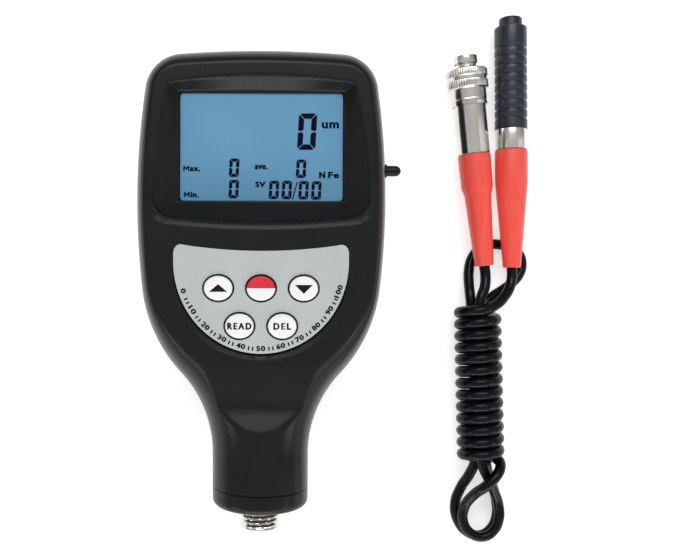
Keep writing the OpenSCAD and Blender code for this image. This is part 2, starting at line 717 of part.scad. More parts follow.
// Probe.
module probe_sleeve() {
    r = sleeve_d / 2;
    g0 = s_front - 4.6 - groove_n * groove_pitch;
    color("#23262e") on_probe() turned(concat(
        [[bore_r, s_sleeve], [r, s_sleeve], [r, g0]],
        [for (i = [0:groove_n - 1]) for (k = [[0.5, 1], [0.9, 0], [2.2, 0]])
            [r - groove_d * k[1], g0 + i * groove_pitch + k[0] * groove_pitch / 2.55]],
        [[r, s_front - 0.6], [r - 0.6, s_front], [nose_d / 2 + run_gap, s_front],
            [nose_d / 2 + run_gap, s_front - lip_l], [bore_r, s_front - lip_l]]));
}
module probe_nose() {
    r = nose_d / 2;
    color("#3a3d42") on_probe() turned([[0, s_flange + 2], [2.9, s_flange + 2], [2.9, s_flange],
        [bore_r - 0.1, s_flange], [bore_r - 0.1, s_flange + flange_l], [r, s_flange + flange_l], [r, s_nose - 0.5],
        [r - 0.5, s_nose], [pole_d / 2, s_nose], [pole_d / 2, s_nose - 1.2], [2.5, s_nose - 1.2],
        [2.5, s_nose - 5.2], [0, s_nose - 5.2]]);
}
module sensor_pole() {
    r = pole_d / 2;
    color("silver") on_probe() turned(concat([[0, s_nose - 5.2], [r, s_nose - 5.2]],
        [for (i = [0:6]) [r * cos(15 * i), s_nose + 0.1 + r * sin(15 * i)]]));
}
module sensor_coil() {
    color("#b8672e") on_probe() ring(pole_d / 2 + 0.1, 2.4, s_nose - 5.1, s_nose - 1.3);
}
module nose_spring() {
    r = 0.35;
    a = s_sleeve + band_in + r;
    l = s_flange + 2 - r - a;
    color("silver") on_probe() tube([for (k = [0:48]) [2.4 * cos(45 * k), 2.4 * sin(45 * k), a + l * k / 48]],
        r, 6, [0, 0, 1]);
}
module probe_band() {
    r = sleeve_d / 2 - 0.1;
    color("#c8ccd0") on_probe() turned([[0, s_band - boot_grip], [3.2, s_band - boot_grip], [3.2, s_band],
        [r, s_band], [r, s_sleeve], [bore_r - 0.05, s_sleeve], [bore_r - 0.05, s_sleeve + band_in],
        [0, s_sleeve + band_in]]);
}
module probe_boot() {
    r = sleeve_d / 2 + 0.05;
    color("#e0423a") on_probe() turned([[0, 0], [boot_end_d / 2, 0], [r, boot_l * 0.74], [r, boot_l],
        [3.2, boot_l], [3.2, boot_l - boot_grip], [0, boot_l - boot_grip]]);
}

// Plug.
module plug_tip() {
    r = tip_d / 2;
    p = p_thread - 0.1;
    color("#d0d4d8") on_plug() turned([[r - 0.5, p - 4], [r, p - 4], [r, p_front + 0.6], [r - 0.5, p_front + 0.8],
        [r - 0.5, p_front + 1.6], [r, p_front + 1.8], [r, p_tip], [r - 0.45, p_tip], [r - 0.9, p_front],
        [r - 0.9, p - 4]]);
}
module plug_insert() {
    color("#404040") on_plug() bar(tip_d / 2 - 0.95, p_thread - 4, p_front);
}
module plug_pins() {
    color("gold") on_plug() for (a = [0:72:288]) rotate(a) translate([1.8, 0, 0])
        bar(contact_d / 4, p_front, p_tip - 0.4);
}
module coupling_nut() {
    r = nut_d / 2;
    s = barrel_d / 2 + run_gap;
    k = s + 0.45;
    g = nut_bore_r + 0.35;
    p = p_thread;
    color("#d0d4d8") on_plug() turned([[s, p_nut + 0.1], [k, p_nut + 0.1], [k, p_ring - 0.4], [r, p_ring],
        [r, p_ring + ring_l], [g, p_ring + ring_l], [g, p_ring + ring_l + 0.9], [r, p_ring + ring_l + 0.9],
        [r, p_front - 0.3], [r - 0.3, p_front], [nut_bore_r, p_front], [nut_bore_r, p], [s, p]]);
}
module plug_barrel() {
    r = barrel_d / 2;
    p = p_thread - 0.1;
    color("#d0d4d8") on_plug() turned([[0, p_barrel - boot_grip], [3.2, p_barrel - boot_grip], [3.2, p_barrel],
        [r, p_barrel], [r, p], [tip_d / 2 + 0.02, p], [tip_d / 2 + 0.02, p - 4], [0, p - 4]]);
}
module plug_boot() {
    r = barrel_d / 2 + 0.05;
    color("#e0423a") on_plug() turned([[0, 0], [boot_end_d / 2, 0], [r - 0.7, plug_boot_l * 0.64],
        [r - 0.15, plug_boot_l * 0.7], [r, plug_boot_l], [3.2, plug_boot_l], [3.2, plug_boot_l - boot_grip],
        [0, plug_boot_l - boot_grip]]);
}

// Lead.
module cord_hank() {
    v = hank_foot - hank_top;
    l = norm(v);
    r = hank_d / 2;
    color("#1a1a1a") translate(hank_top) rotate([90, 0, atan2(v[0], -v[1])])
        turned([[0, 0], [r - 1.5, 0], [r - 0.4, 0.4], [r, 1.5], [r, l - 1.5], [r - 0.4, l - 0.4], [r - 1.5, l], [0, l]]);
}
module cord_plug_end() {
    color("#1a1a1a") tube(smooth(plug_run, 2), cord_d / 2, 8, [1, 0, 0.3]);
}
module cord_top_loop() {
    color("#1a1a1a") tube(smooth(top_run, 2), cord_d / 2, 8, [0, 0, 1]);
}
module cord_lower_bight() {
    color("#1a1a1a") tube(smooth(lower_run, 2), cord_d / 2, 8, [0, 0, 1]);
}
module cord_upper_bight() {
    color("#1a1a1a") tube(smooth(upper_run, 2), cord_d / 2, 8, [0, 0, 1]);
}
module cord_probe_end() {
    color("#1a1a1a") tube(smooth(probe_run, 2), cord_d / 2, 8, [1, 0, 0.3]);
}

front_shell();
rear_shell();
end_cap();
display_window();
lcd_panel();
backlight();
contact_strip();
main_board();
board_parts();
board_spacers();
keypad_board();
key_switches();
face_label();
key_up();
key_power();
key_down();
key_read();
key_delete();
case_screws();
battery_door();
battery_tray();
cell_1();
cell_2();
cell_3();
cell_4();
contact_springs();
contact_plates();
interface_jack();
dust_plug();
socket_shell();
socket_insert();
socket_contacts();
probe_sleeve();
probe_nose();
sensor_pole();
sensor_coil();
nose_spring();
probe_band();
probe_boot();
plug_tip();
plug_insert();
plug_pins();
coupling_nut();
plug_barrel();
plug_boot();
cord_hank();
cord_plug_end();
cord_top_loop();
cord_lower_bight();
cord_upper_bight();
cord_probe_end();
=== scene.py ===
import math

import bmesh
import bpy
import numpy as np
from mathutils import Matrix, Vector


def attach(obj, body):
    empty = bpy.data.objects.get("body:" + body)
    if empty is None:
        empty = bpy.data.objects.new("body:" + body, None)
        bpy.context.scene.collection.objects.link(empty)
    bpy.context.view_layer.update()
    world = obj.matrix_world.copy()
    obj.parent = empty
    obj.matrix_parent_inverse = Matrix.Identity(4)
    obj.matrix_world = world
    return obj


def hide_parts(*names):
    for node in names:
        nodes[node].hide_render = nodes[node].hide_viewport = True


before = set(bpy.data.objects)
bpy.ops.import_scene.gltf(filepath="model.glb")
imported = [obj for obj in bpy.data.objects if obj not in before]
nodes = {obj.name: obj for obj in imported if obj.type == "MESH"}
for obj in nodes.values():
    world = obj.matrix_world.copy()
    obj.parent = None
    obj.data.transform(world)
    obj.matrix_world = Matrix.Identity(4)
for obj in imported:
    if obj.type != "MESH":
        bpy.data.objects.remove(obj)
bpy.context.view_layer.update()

MM = 0.001
scene = bpy.context.scene


def add(name, data):
    ob = bpy.data.objects.new(name, data)
    scene.collection.objects.link(ob)
    return ob


# Camera, straight down on the face. The image's sizes are in pixels.
CAM_H = 0.240
CAM_ROLL = 0.004
CLIP_START = 0.005
SENSOR_MM = 36.0
IMAGE_W_PX = 700.0
FOCAL_PX = 810.0
AXIS_U_PX = 261.0
cam_data = bpy.data.cameras.new("camera")
cam_data.sensor_width = SENSOR_MM
cam_data.lens = FOCAL_PX / IMAGE_W_PX * SENSOR_MM
cam_data.shift_x = (IMAGE_W_PX / 2 - AXIS_U_PX) / IMAGE_W_PX
cam_data.clip_start = CLIP_START
camera = add("camera", cam_data)
camera.location = (0.0, 0.0, CAM_H)
camera.rotation_euler = (0.0, 0.0, CAM_ROLL)
scene.camera = camera


# Material helpers. Grain sizes and bump depths are in millimetres.
def new_material(name):
    m = bpy.data.materials.new(name)
    m.use_nodes = True
    nt = m.node_tree
    return m, nt, nt.nodes["Principled BSDF"]


# Sets inputs of a node, or links them to an output. An underscore stands for a space in an input's name.
def put(node, **values):
    for name, value in values.items():
        socket = node.inputs[name.replace("_", " ")]
        if isinstance(value, bpy.types.NodeSocket):
            node.id_data.links.new(value, socket)
        else:
            socket.default_value = value


def coords(nt, stretch=(1, 1, 1)):
    tc = nt.nodes.new("ShaderNodeTexCoord")
    mp = nt.nodes.new("ShaderNodeMapping")
    put(mp, Scale=stretch, Vector=tc.outputs["Object"])
    return mp.outputs["Vector"]


def part_of(nt, space, axis):
    tc = nt.nodes.new("ShaderNodeTexCoord")
    sep = nt.nodes.new("ShaderNodeSeparateXYZ")
    put(sep, Vector=tc.outputs[space])
    return sep.outputs[axis]


def noise(nt, vec, mm, detail=3.0):
    n = nt.nodes.new("ShaderNodeTexNoise")
    put(n, Scale=1 / (mm * MM), Detail=detail, Roughness=0.55, Vector=vec)
    return n.outputs["Fac"]


def remap(nt, fac, lo, hi, start=0.3, end=0.7):
    n = nt.nodes.new("ShaderNodeMapRange")
    put(n, From_Min=start, From_Max=end, To_Min=lo, To_Max=hi, Value=fac)
    return n.outputs["Result"]


def two_tone(nt, fac, c0, c1):
    n = nt.nodes.new("ShaderNodeMix")
    n.data_type = "RGBA"
    put(n, A=(*c0, 1), B=(*c1, 1), Factor=fac)
    return n.outputs["Result"]


def bump(nt, bsdf, fac, mm):
    n = nt.nodes.new("ShaderNodeBump")
    put(n, Strength=1.0, Distance=mm * MM, Height=fac)
    put(bsdf, Normal=n.outputs["Normal"])


def moulded(name, c0, c1, rough, grain, depth, patch=9.0, spread=0.06, metal=0.0, spec=0.5):
    m, nt, b = new_material(name)
    vec = coords(nt)
    big = noise(nt, vec, patch)
    fine = noise(nt, vec, grain, 2.0)
    put(b, Base_Color=two_tone(nt, remap(nt, big, 0, 1), c0, c1))
    put(b, Roughness=remap(nt, fine, rough - spread, rough + spread))
    bump(nt, b, fine, depth)
    put(b, Metallic=metal, Specular_IOR_Level=spec)
    return m


case_mat = moulded("case_satin", (0.0092, 0.0098, 0.0095), (0.0118, 0.0124, 0.0121),
                   rough=0.30, grain=0.30, depth=0.010, spread=0.04, spec=0.16)
grip_mat = moulded("rear_satin", (0.0100, 0.0105, 0.0102), (0.0130, 0.0136, 0.0133),
                   rough=0.45, grain=0.26, depth=0.02, spec=0.22)
black_mat = moulded("black_plastic", (0.012, 0.012, 0.013), (0.018, 0.018, 0.019),
                    rough=0.45, grain=0.3, depth=0.015)
dust_mat = moulded("dust_rubber", (0.005, 0.005, 0.005), (0.008, 0.008, 0.008),
                   rough=0.36, grain=0.4, depth=0.01, spec=0.2)
cord_mat = moulded("cord_jacket", (0.0027, 0.0031, 0.0050), (0.0042, 0.0047, 0.0070),
                   rough=0.25, grain=0.5, depth=0.005, patch=6.0, spread=0.04, spec=0.17)
label_mat = moulded("label_film", (0.472, 0.505, 0.505), (0.505, 0.538, 0.535),
                    rough=0.40, grain=0.12, depth=0.004, patch=14.0, spec=0.3)
print_mat = moulded("label_ink", (0.006, 0.006, 0.008), (0.010, 0.010, 0.012),
                    rough=0.5, grain=0.2, depth=0.004, spec=0.12)
key_mat = moulded("key_white", (0.88, 0.885, 0.88), (0.92, 0.92, 0.915),
                  rough=0.34, grain=0.25, depth=0.004)
sleeve_mat = moulded("sleeve_anodised", (0.017, 0.020, 0.031), (0.026, 0.031, 0.043),
                     rough=0.34, grain=0.2, depth=0.006, patch=5.0, metal=0.30)
nose_mat = moulded("nose_steel", (0.018, 0.019, 0.023), (0.030, 0.031, 0.037),
                   rough=0.42, grain=0.25, depth=0.004, patch=2.0, spread=0.08, metal=0.35)
steel_mat = moulded("plated_steel", (0.52, 0.53, 0.54), (0.66, 0.66, 0.65),
                    rough=0.28, grain=0.3, depth=0.004, patch=2.5, spread=0.08, metal=1.0)
gold_mat = moulded("contact_gold", (0.72, 0.50, 0.17), (0.82, 0.60, 0.25),
                   rough=0.24, grain=0.2, depth=0.002, patch=1.0, metal=1.0)
milky_mat = moulded("diffuser", (0.78, 0.79, 0.78), (0.86, 0.86, 0.84),
                    rough=0.5, grain=0.5, depth=0.01)


def nickel_material():
    dark, light = (0.66, 0.633, 0.590), (0.76, 0.735, 0.690)
    m, nt, b = new_material("polished_nickel")
    fine = noise(nt, coords(nt, (0.15, 1.0, 0.15)), 0.12)
    wide = noise(nt, coords(nt), 5.0)
    put(b, Base_Color=two_tone(nt, remap(nt, wide, 0, 1), dark, light))
    put(b, Roughness=remap(nt, fine, 0.13, 0.23), Metallic=1.0)
    bump(nt, b, fine, 0.002)
    return m


def boot_material():
    dark, light = (0.86, 0.080, 0.057), (0.93, 0.104, 0.075)
    m, nt, b = new_material("boot_rubber")
    flow = noise(nt, coords(nt, (1.0, 0.16, 1.0)), 1.4, 4.0)
    spots = noise(nt, coords(nt), 0.45, 2.0)
    put(b, Base_Color=two_tone(nt, remap(nt, flow, 0, 1, 0.35, 0.7), dark, light))
    put(b, Roughness=remap(nt, spots, 0.26, 0.40))
    bump(nt, b, spots, 0.012)
    put(b, Subsurface_Weight=0.05, Subsurface_Scale=1.0 * MM)
    return m


def split_material(name, y, upper, lower):
    edge = 0.04
    m, nt, b = new_material(name)
    side = remap(nt, part_of(nt, "Object", "Y"), 0, 1, (y - edge) * MM, (y + edge) * MM)
    fine = noise(nt, coords(nt), 0.25, 2.0)
    put(b, Base_Color=two_tone(nt, side, lower, upper), Roughness=remap(nt, fine, 0.30, 0.40))
    bump(nt, b, fine, 0.004)
    return m


# LCD panel: blue with a painted glow. Its emission, varied by fine specks, is no backlight; it stands in for
# the light that the window and the recess take off the panel.
def lcd_material():
    dark, light = (0.110, 0.272, 0.430), (0.125, 0.296, 0.460)
    m, nt, b = new_material("lcd_blue_painted_glow")
    wide = noise(nt, coords(nt), 22.0, 1.0)
    speck = noise(nt, coords(nt), 0.18, 2.0)
    col = two_tone(nt, remap(nt, wide, 0, 1), dark, light)
    put(b, Base_Color=col, Emission_Color=col, Emission_Strength=remap(nt, speck, 0.10, 0.16))
    put(b, Roughness=0.45, Specular_IOR_Level=0.2)
    return m


def ink_material():
    dark, light = (0.0015, 0.002, 0.014), (0.003, 0.004, 0.022)
    m, nt, b = new_material("lcd_segment")
    speck = noise(nt, coords(nt), 0.25, 2.0)
    put(b, Base_Color=two_tone(nt, remap(nt, speck, 0, 1), dark, light))
    put(b, Roughness=0.5, Specular_IOR_Level=0.02)
    return m


# Clear sheet that mirrors on its outer faces only.
def window_material():
    m, nt, b = new_material("window_clear")
    out = nt.nodes["Material Output"]
    nt.nodes.remove(b)
    clear = nt.nodes.new("ShaderNodeBsdfTransparent")
    put(clear, Color=(0.97, 0.985, 0.99, 1))
    gloss = nt.nodes.new("ShaderNodeBsdfGlossy")
    speck = noise(nt, coords(nt), 0.8, 2.0)
    put(gloss, Roughness=remap(nt, speck, 0.04, 0.08))
    fres = nt.nodes.new("ShaderNodeFresnel")
    put(fres, IOR=1.18)
    side = nt.nodes.new("ShaderNodeNewGeometry")
    outer = nt.nodes.new("ShaderNodeMix")
    outer.data_type = "FLOAT"
    put(outer, B=0.0, Factor=side.outputs["Backfacing"], A=fres.outputs["Fac"])
    mix = nt.nodes.new("ShaderNodeMixShader")
    put(mix, Fac=outer.outputs["Result"])
    nt.links.new(clear.outputs["BSDF"], mix.inputs[1])
    nt.links.new(gloss.outputs["BSDF"], mix.inputs[2])
    put(out, Surface=mix.outputs["Shader"])
    return m


def banded(name, axis, mm, c0, c1, rough, metal):
    m, nt, b = new_material(name)
    w = nt.nodes.new("ShaderNodeTexWave")
    w.bands_direction = axis
    put(w, Scale=1 / (math.pi * mm * MM), Distortion=0.4, Detail=1.0, Vector=coords(nt))
    put(b, Base_Color=two_tone(nt, w.outputs["Fac"], c0, c1))
    put(b, Roughness=remap(nt, w.outputs["Fac"], rough, rough + 0.1, 0, 1))
    bump(nt, b, w.outputs["Fac"], 0.05)
    put(b, Metallic=metal)
    return m


def board_material():
    m, nt, b = new_material("solder_mask")
    br = nt.nodes.new("ShaderNodeTexBrick")
    put(br, Color1=(0.014, 0.125, 0.045, 1), Color2=(0.018, 0.150, 0.055, 1))
    put(br, Mortar=(0.045, 0.24, 0.09, 1), Mortar_Size=0.03, Scale=240.0, Vector=coords(nt))
    put(b, Base_Color=br.outputs["Color"])
    put(b, Roughness=remap(nt, noise(nt, coords(nt), 2.0), 0.28, 0.42))
    bump(nt, b, br.outputs["Fac"], 0.03)
    return m


def cell_material():
    black, copper = (0.030, 0.030, 0.034), (0.50, 0.30, 0.06)
    y0, y1 = 33.5, 33.7
    m, nt, b = new_material("cell_sleeve")
    side = remap(nt, part_of(nt, "Object", "Y"), 0, 1, y0 * MM, y1 * MM)
    fine = noise(nt, coords(nt), 1.2, 2.0)
    put(b, Base_Color=two_tone(nt, side, black, copper), Roughness=remap(nt, fine, 0.22, 0.36))
    put(b, Metallic=0.6)
    return m


# Keys: their places and half sizes, in millimetres.
KEY_PITCH = 11.1
UPPER_ROW, LOWER_ROW = -2.8, -12.6
KEYS = {"key_up": (-KEY_PITCH, UPPER_ROW), "key_power": (0.0, UPPER_ROW), "key_down": (KEY_PITCH, UPPER_ROW),
        "key_read": (-KEY_PITCH / 2, LOWER_ROW), "key_delete": (KEY_PITCH / 2, LOWER_ROW)}
KEY_A, KEY_B = 3.7, 3.2
KEY_FLANGE = 0.7

nickel_mat = nickel_material()
boot_mat = boot_material()
lcd_mat = lcd_material()
ink_mat = ink_material()
window_mat = window_material()
power_mat = split_material("key_two_colour", UPPER_ROW, (0.70, 0.016, 0.040), (0.90, 0.90, 0.895))
copper_mat = banded("wound_copper", "Y", 0.25, (0.42, 0.16, 0.06), (0.68, 0.32, 0.14), 0.28, 0.9)
strip_mat = banded("contact_layers", "X", 0.5, (0.05, 0.05, 0.05), (0.34, 0.34, 0.35), 0.6, 0.0)
board_mat = board_material()
cell_mat = cell_material()


# Mesh helpers. Sizes are in millimetres until a mesh is made.
def outward(me):
    bm = bmesh.new()
    bm.from_mesh(me)
    bmesh.ops.remove_doubles(bm, verts=bm.verts, dist=1e-6)
    bmesh.ops.dissolve_degenerate(bm, edges=bm.edges, dist=1e-7)
    bmesh.ops.recalc_face_normals(bm, faces=bm.faces)
    mid = Vector((0, 0, 0))
    for v in bm.verts:
        mid += v.co
    mid /= max(len(bm.verts), 1)
    vol = sum(f.normal.dot(f.calc_center_median() - mid) * f.calc_area() for f in bm.faces)
    if vol < 0:
        bmesh.ops.reverse_faces(bm, faces=bm.faces)
    bm.to_mesh(me)
    bm.free()


def closed_mesh(name, verts, faces):
    me = bpy.data.meshes.new(name)
    me.from_pydata((np.asarray(verts, dtype=float) * MM).tolist(), [], faces)
    outward(me)
    return me


def shade(me, angle):
    me.shade_smooth()
    me.set_sharp_from_angle(angle=math.radians(angle))


def piece(name, verts, faces, mat, body, replaces=(), slot=None, angle=32):
    me = closed_mesh(name, verts, faces)
    shade(me, angle)
    me.materials.append(mat)
    ob = add(name, me)
    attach(ob, body)
    if replaces:
        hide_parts(*replaces)
    return ob


def evaluated(ob):
    bpy.context.view_layer.update()
    return bpy.data.meshes.new_from_object(ob.evaluated_get(bpy.context.evaluated_depsgraph_get()))


# Rounds the corners of an open outline.
def soft(pts, rad, n=4):
    most = 0.45
    pts = [np.array(p, dtype=float) for p in pts]
    out = [pts[0]]
    for p, q, s in zip(pts, pts[1:], pts[2:]):
        lp, ls = np.linalg.norm(p - q), np.linalg.norm(s - q)
        a = q + (p - q) / lp * min(rad, lp * most)
        b = q + (s - q) / ls * min(rad, ls * most)
        for k in range(n + 1):
            t = k / n
            out.append((1 - t) ** 2 * a + 2 * t * (1 - t) * q + t * t * b)
    out.append(pts[-1])
    return [tuple(p) for p in out]


def axes_of(d):
    d = np.array(d, dtype=float)
    d /= np.linalg.norm(d)
    u = np.cross([0, 0, 1.0], d)
    u /= np.linalg.norm(u)
    return u, np.cross(d, u), d


# Faces between rings of n points that follow each other.
def ring_faces(rings, n):
    faces = []
    for i in range(rings - 1):
        for k in range(n):
            a, b = i * n + k, i * n + (k + 1) % n
            faces.append((a, b, b + n, a + n))
    return faces


# Solid turned about d. A shape adds to the radius r at station s and angle a.
def turned(name, prof, at, d, mat, body, replaces=(), slot=None, n=96, angle=32, shape=None):
    u, v, d = axes_of(d)
    at = np.array(at, dtype=float)
    ang = np.arange(n) * 2 * math.pi / n
    verts = []
    for s, r in prof:
        for a in ang:
            rr = r + (shape(s, r, a) if shape else 0.0)
            verts.append(at + d * s + rr * (math.cos(a) * u + math.sin(a) * v))
    return piece(name, verts, ring_faces(len(prof), n), mat, body, replaces, slot, angle)


def prism(polys, z0, z1):
    verts, faces = [], []
    for p in polys:
        k, n = len(verts), len(p)
        verts += [(x, y, z0) for x, y in p] + [(x, y, z1) for x, y in p]
        faces += [tuple(range(k, k + n)), tuple(range(k + n, k + 2 * n))]
        faces += [(k + i, k + (i + 1) % n, k + n + (i + 1) % n, k + n + i) for i in range(n)]
    return verts, faces


def merge(*parts):
    verts, faces = [], []
    for v, f in parts:
        k = len(verts)
        verts += list(v)
        faces += [tuple(i + k for i in t) for t in f]
    return verts, faces


# Letters that fill a box, from z0 up to z1.
def flat_text(body, x0, x1, y0, y1, z0, z1, gap):
    cu = bpy.data.curves.new("letters", "FONT")
    cu.body = body
    cu.size = 1.0
    cu.offset = 0.012
    cu.space_character = gap
    cu.resolution_u = 3
    ob = add("letters", cu)
    me = evaluated(ob)
    bm = bmesh.new()
    bm.from_mesh(me)
    bmesh.ops.remove_doubles(bm, verts=bm.verts, dist=1e-5)
    xs = [v.co.x for v in bm.verts]
    ys = [v.co.y for v in bm.verts]
    sx = (x1 - x0) / (max(xs) - min(xs))
    sy = (y1 - y0) / (max(ys) - min(ys))
    lx, ly = min(xs), min(ys)
    ret = bmesh.ops.extrude_face_region(bm, geom=bm.faces[:])
    top = {e for e in ret["geom"] if isinstance(e, bmesh.types.BMVert)}
    bm.verts.index_update()
    verts = [(x0 + (v.co.x - lx) * sx, y0 + (v.co.y - ly) * sy, z1 if v in top else z0) for v in bm.verts]
    faces = [tuple(v.index for v in f.verts) for f in bm.faces]
    bm.free()
    bpy.data.objects.remove(ob)
    bpy.data.curves.remove(cu)
    bpy.data.meshes.remove(me)
    return verts, faces


# Bold letters: five copies shifted by t, each a hair lower than the one before.
def bold_text(body, x0, x1, y0, y1, z0, z1, t, gap=1.12):
    rise_t, hair = 0.6 * t, 0.003
    shifts = ((-t, 0), (t, 0), (0, rise_t), (0, -rise_t), (0, 0))
    return merge(*[flat_text(body, x0 + dx, x1 + dx, y0 + dy, y1 + dy, z0, z1 - hair * k, gap)
                   for k, (dx, dy) in enumerate(shifts)])


def ellipse(cx, cy, a, b, n=64):
    turn = [2 * math.pi * i / n for i in range(n)]
    return [(cx + a * math.cos(t), cy + b * math.sin(t)) for t in turn]


def ring_band(cx, cy, a, b, w, z0, z1, n=72):
    inner, outer = ellipse(cx, cy, a, b, n), ellipse(cx, cy, a + w, b + w, n)
    verts = [(x, y, z) for z in (z0, z1) for loop in (inner, outer) for x, y in loop]
    faces = []
    for i in range(n):
        j = (i + 1) % n
        faces += [(i, j, n + j, n + i), (2 * n + i, 2 * n + j, 3 * n + j, 3 * n + i),
                  (n + i, n + j, 3 * n + j, 3 * n + i), (i, j, 2 * n + j, 2 * n + i)]
    return verts, faces


# Cord: its runs outside the hank, in millimetres. The route joins them from the probe's boot to the plug's.
PLUG_RUN = [(64.4, 3.6, 6.4), (64.7, 0.8, 6.5), (64.3, -2.4, 7.3), (63.2, -5, 8.1), (62.4, -8, 8.4)]
TOP_RUN = [(60.8, -8, 5.8), (60.6, -5, 5.4), (60.6, -1.6, 4), (60.9, 2.2, 2.6), (62, 5.8, 1.6),
           (64.2, 8.5, 1.5), (67.2, 9.9, 1.5), (70.6, 9.9, 1.5), (73.8, 8.9, 1.5), (76, 7, 1.5),
           (76.7, 4.4, 1.5), (76, 1.6, 1.9), (73.8, -1, 2.6), (70.6, -3.2, 3.8), (67, -5.4, 5),
           (64.4, -8, 5.8)]
LOWER_RUN = [(62, -53, 5.8), (60.8, -57, 4.4), (58.8, -61.4, 2.4), (57.4, -66.4, 1.5), (58.2, -71.2, 1.5),
             (61.2, -74.8, 1.5), (64.6, -75.6, 1.5), (67.8, -73.8, 1.5), (69.6, -70, 1.5), (69.5, -65.4, 1.5),
             (68.2, -60.8, 2.2), (66.4, -56.8, 4), (65.2, -53, 5.8)]
UPPER_RUN = [(63.5, -53, 8.4), (65.4, -57.4, 7.8), (67.6, -61.6, 6), (69.2, -65.6, 4.7), (69.4, -69.8, 4.6),
             (67.7, -73.5, 4.6), (64.6, -75.1, 4.6), (61.2, -74, 4.6), (59, -70.6, 4.6), (59.2, -66.2, 5.4),
             (61.2, -62, 8), (64, -58.6, 11), (66.8, -55.8, 11), (68.6, -53.4, 8.8)]
PROBE_RUN = [(72.2, 3.1, 6.75), (72.2, 0.6, 6.9), (71.4, -2.4, 7.6), (69.4, -5.2, 9), (66.4, -7.6, 10.6)]
# The hank's axis, its wraps and the strands inside them.
HANK_TOP, HANK_FOOT, HANK_Z = (62.3, -7.0), (63.5, -54.0), 6.7
WRAPS, WRAP_POINTS, WRAP_R = 12.75, 14, 5.1
WRAP_TOP, WRAP_FOOT, WRAP_START = -8.95, -52.3, 90
STRAND_POINTS, STRAND_R, STRAND_TWIST = 6, 1.76, 120
STRAND_TOP, STRAND_L = -8, 45
# The cord's radius, and how it swells in the wraps and in the free runs above the lowest bend.
CORD_R = 1.43
WRAP_SWELL, RUN_SWELL, LOWEST_BEND_Y = 1.13, 1.04, -72


def round_hank(y, r, degrees):
    t = (HANK_TOP[1] - y) / (HANK_TOP[1] - HANK_FOOT[1])
    x = HANK_TOP[0] + t * (HANK_FOOT[0] - HANK_TOP[0])
    a = math.radians(degrees)
    return x + r * math.cos(a), y, HANK_Z + r * math.sin(a)


def wraps():
    n = int(round(WRAPS * WRAP_POINTS))
    return [round_hank(WRAP_TOP + (WRAP_FOOT - WRAP_TOP) * i / n, WRAP_R, WRAP_START + 360 * WRAPS * i / n)
            for i in range(n + 1)]


def strand(a_top, downward):
    steps = [(i + 0.5) / STRAND_POINTS for i in range(STRAND_POINTS)]
    out = [round_hank(STRAND_TOP - t * STRAND_L, STRAND_R, a_top + STRAND_TWIST * t) for t in steps]
    return out if downward else out[::-1]


turns = wraps()
route = (PROBE_RUN + turns + UPPER_RUN[::-1] + strand(-30, False)
         + TOP_RUN[::-1] + strand(210, True) + LOWER_RUN[::-1] + strand(90, False) + PLUG_RUN[::-1])
cord_curve = bpy.data.curves.new("probe_cord", "CURVE")
cord_curve.dimensions = "3D"
cord_curve.bevel_depth = CORD_R * MM
cord_curve.bevel_resolution = 5
cord_curve.resolution_u = 6
cord_curve.use_fill_caps = True
spline = cord_curve.splines.new("BEZIER")
spline.bezier_points.add(len(route) - 1)
for bp, p in zip(spline.bezier_points, route):
    bp.co = [c * MM for c in p]
    bp.radius = WRAP_SWELL if p in turns else 1.0 if p[1] < LOWEST_BEND_Y else RUN_SWELL
    bp.handle_left_type = "AUTO"
    bp.handle_right_type = "AUTO"
cord = add("probe_cord", cord_curve)
cord_curve.materials.append(cord_mat)
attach(cord, "gauge")
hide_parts("cord_hank", "cord_plug_end", "cord_top_loop", "cord_lower_bight", "cord_upper_bight",
            "cord_probe_end")

# Case: half width, neck radius, and the heights of the parting plane, the face and the recess.
CASE_X, NECK_R = 33.88, 13.2
PART, FACE, RECESS_Z = 15.0, 29.8, 26.4
NECK_END, CAP_END = 57.4, 62.8
# Tangent arcs of the outline, from the waist up to the top edge.
WAIST_R, SHOULDER_R, SIDE_R, CORNER_R, TOP_R = 33, 40, 215, 11, 290
SIDE_Y, TOP_Y, SIDE_TURN = 21.5, 61.6, 6.7
turn_b = math.radians(SIDE_TURN)
reach = SIDE_R * (1 - math.cos(turn_b)) + SHOULDER_R * math.cos(turn_b) + WAIST_R - (CASE_X - NECK_R)
turn_a = math.acos(reach / (SHOULDER_R + WAIST_R))
side_c = np.array([CASE_X - SIDE_R, SIDE_Y])
shoulder_c = side_c + (SIDE_R - SHOULDER_R) * np.array([math.cos(turn_b), -math.sin(turn_b)])
waist_c = shoulder_c + (SHOULDER_R + WAIST_R) * np.array([math.cos(turn_a), -math.sin(turn_a)])
neck_y = waist_c[1]
top_c = np.array([0, TOP_Y - TOP_R])


# Point on the right where two circles cross.
def meet(p, r, q, s):
    d = np.linalg.norm(q - p)
    a = (r * r - s * s + d * d) / (2 * d)
    h = math.sqrt(r * r - a * a)
    u = (q - p) / d
    c = [p + a * u + k * h * np.array([-u[1], u[0]]) for k in (1, -1)]
    return c[0] if c[0][0] > 0 else c[1]


corner_c = meet(side_c, SIDE_R - CORNER_R, top_c, TOP_R - CORNER_R)
a_side = math.atan2(*(corner_c - side_c)[::-1])
a_top = math.atan2(*(corner_c - top_c)[::-1])


# Points of an arc with their outward normals, which s turns round on a hollow arc.
def arc(c, r, a, b, n, s):
    t = a + (b - a) * np.arange(1, n + 1) / n
    return np.stack([c[0] + r * np.cos(t), c[1] + r * np.sin(t), s * np.cos(t), s * np.sin(t)], 1)


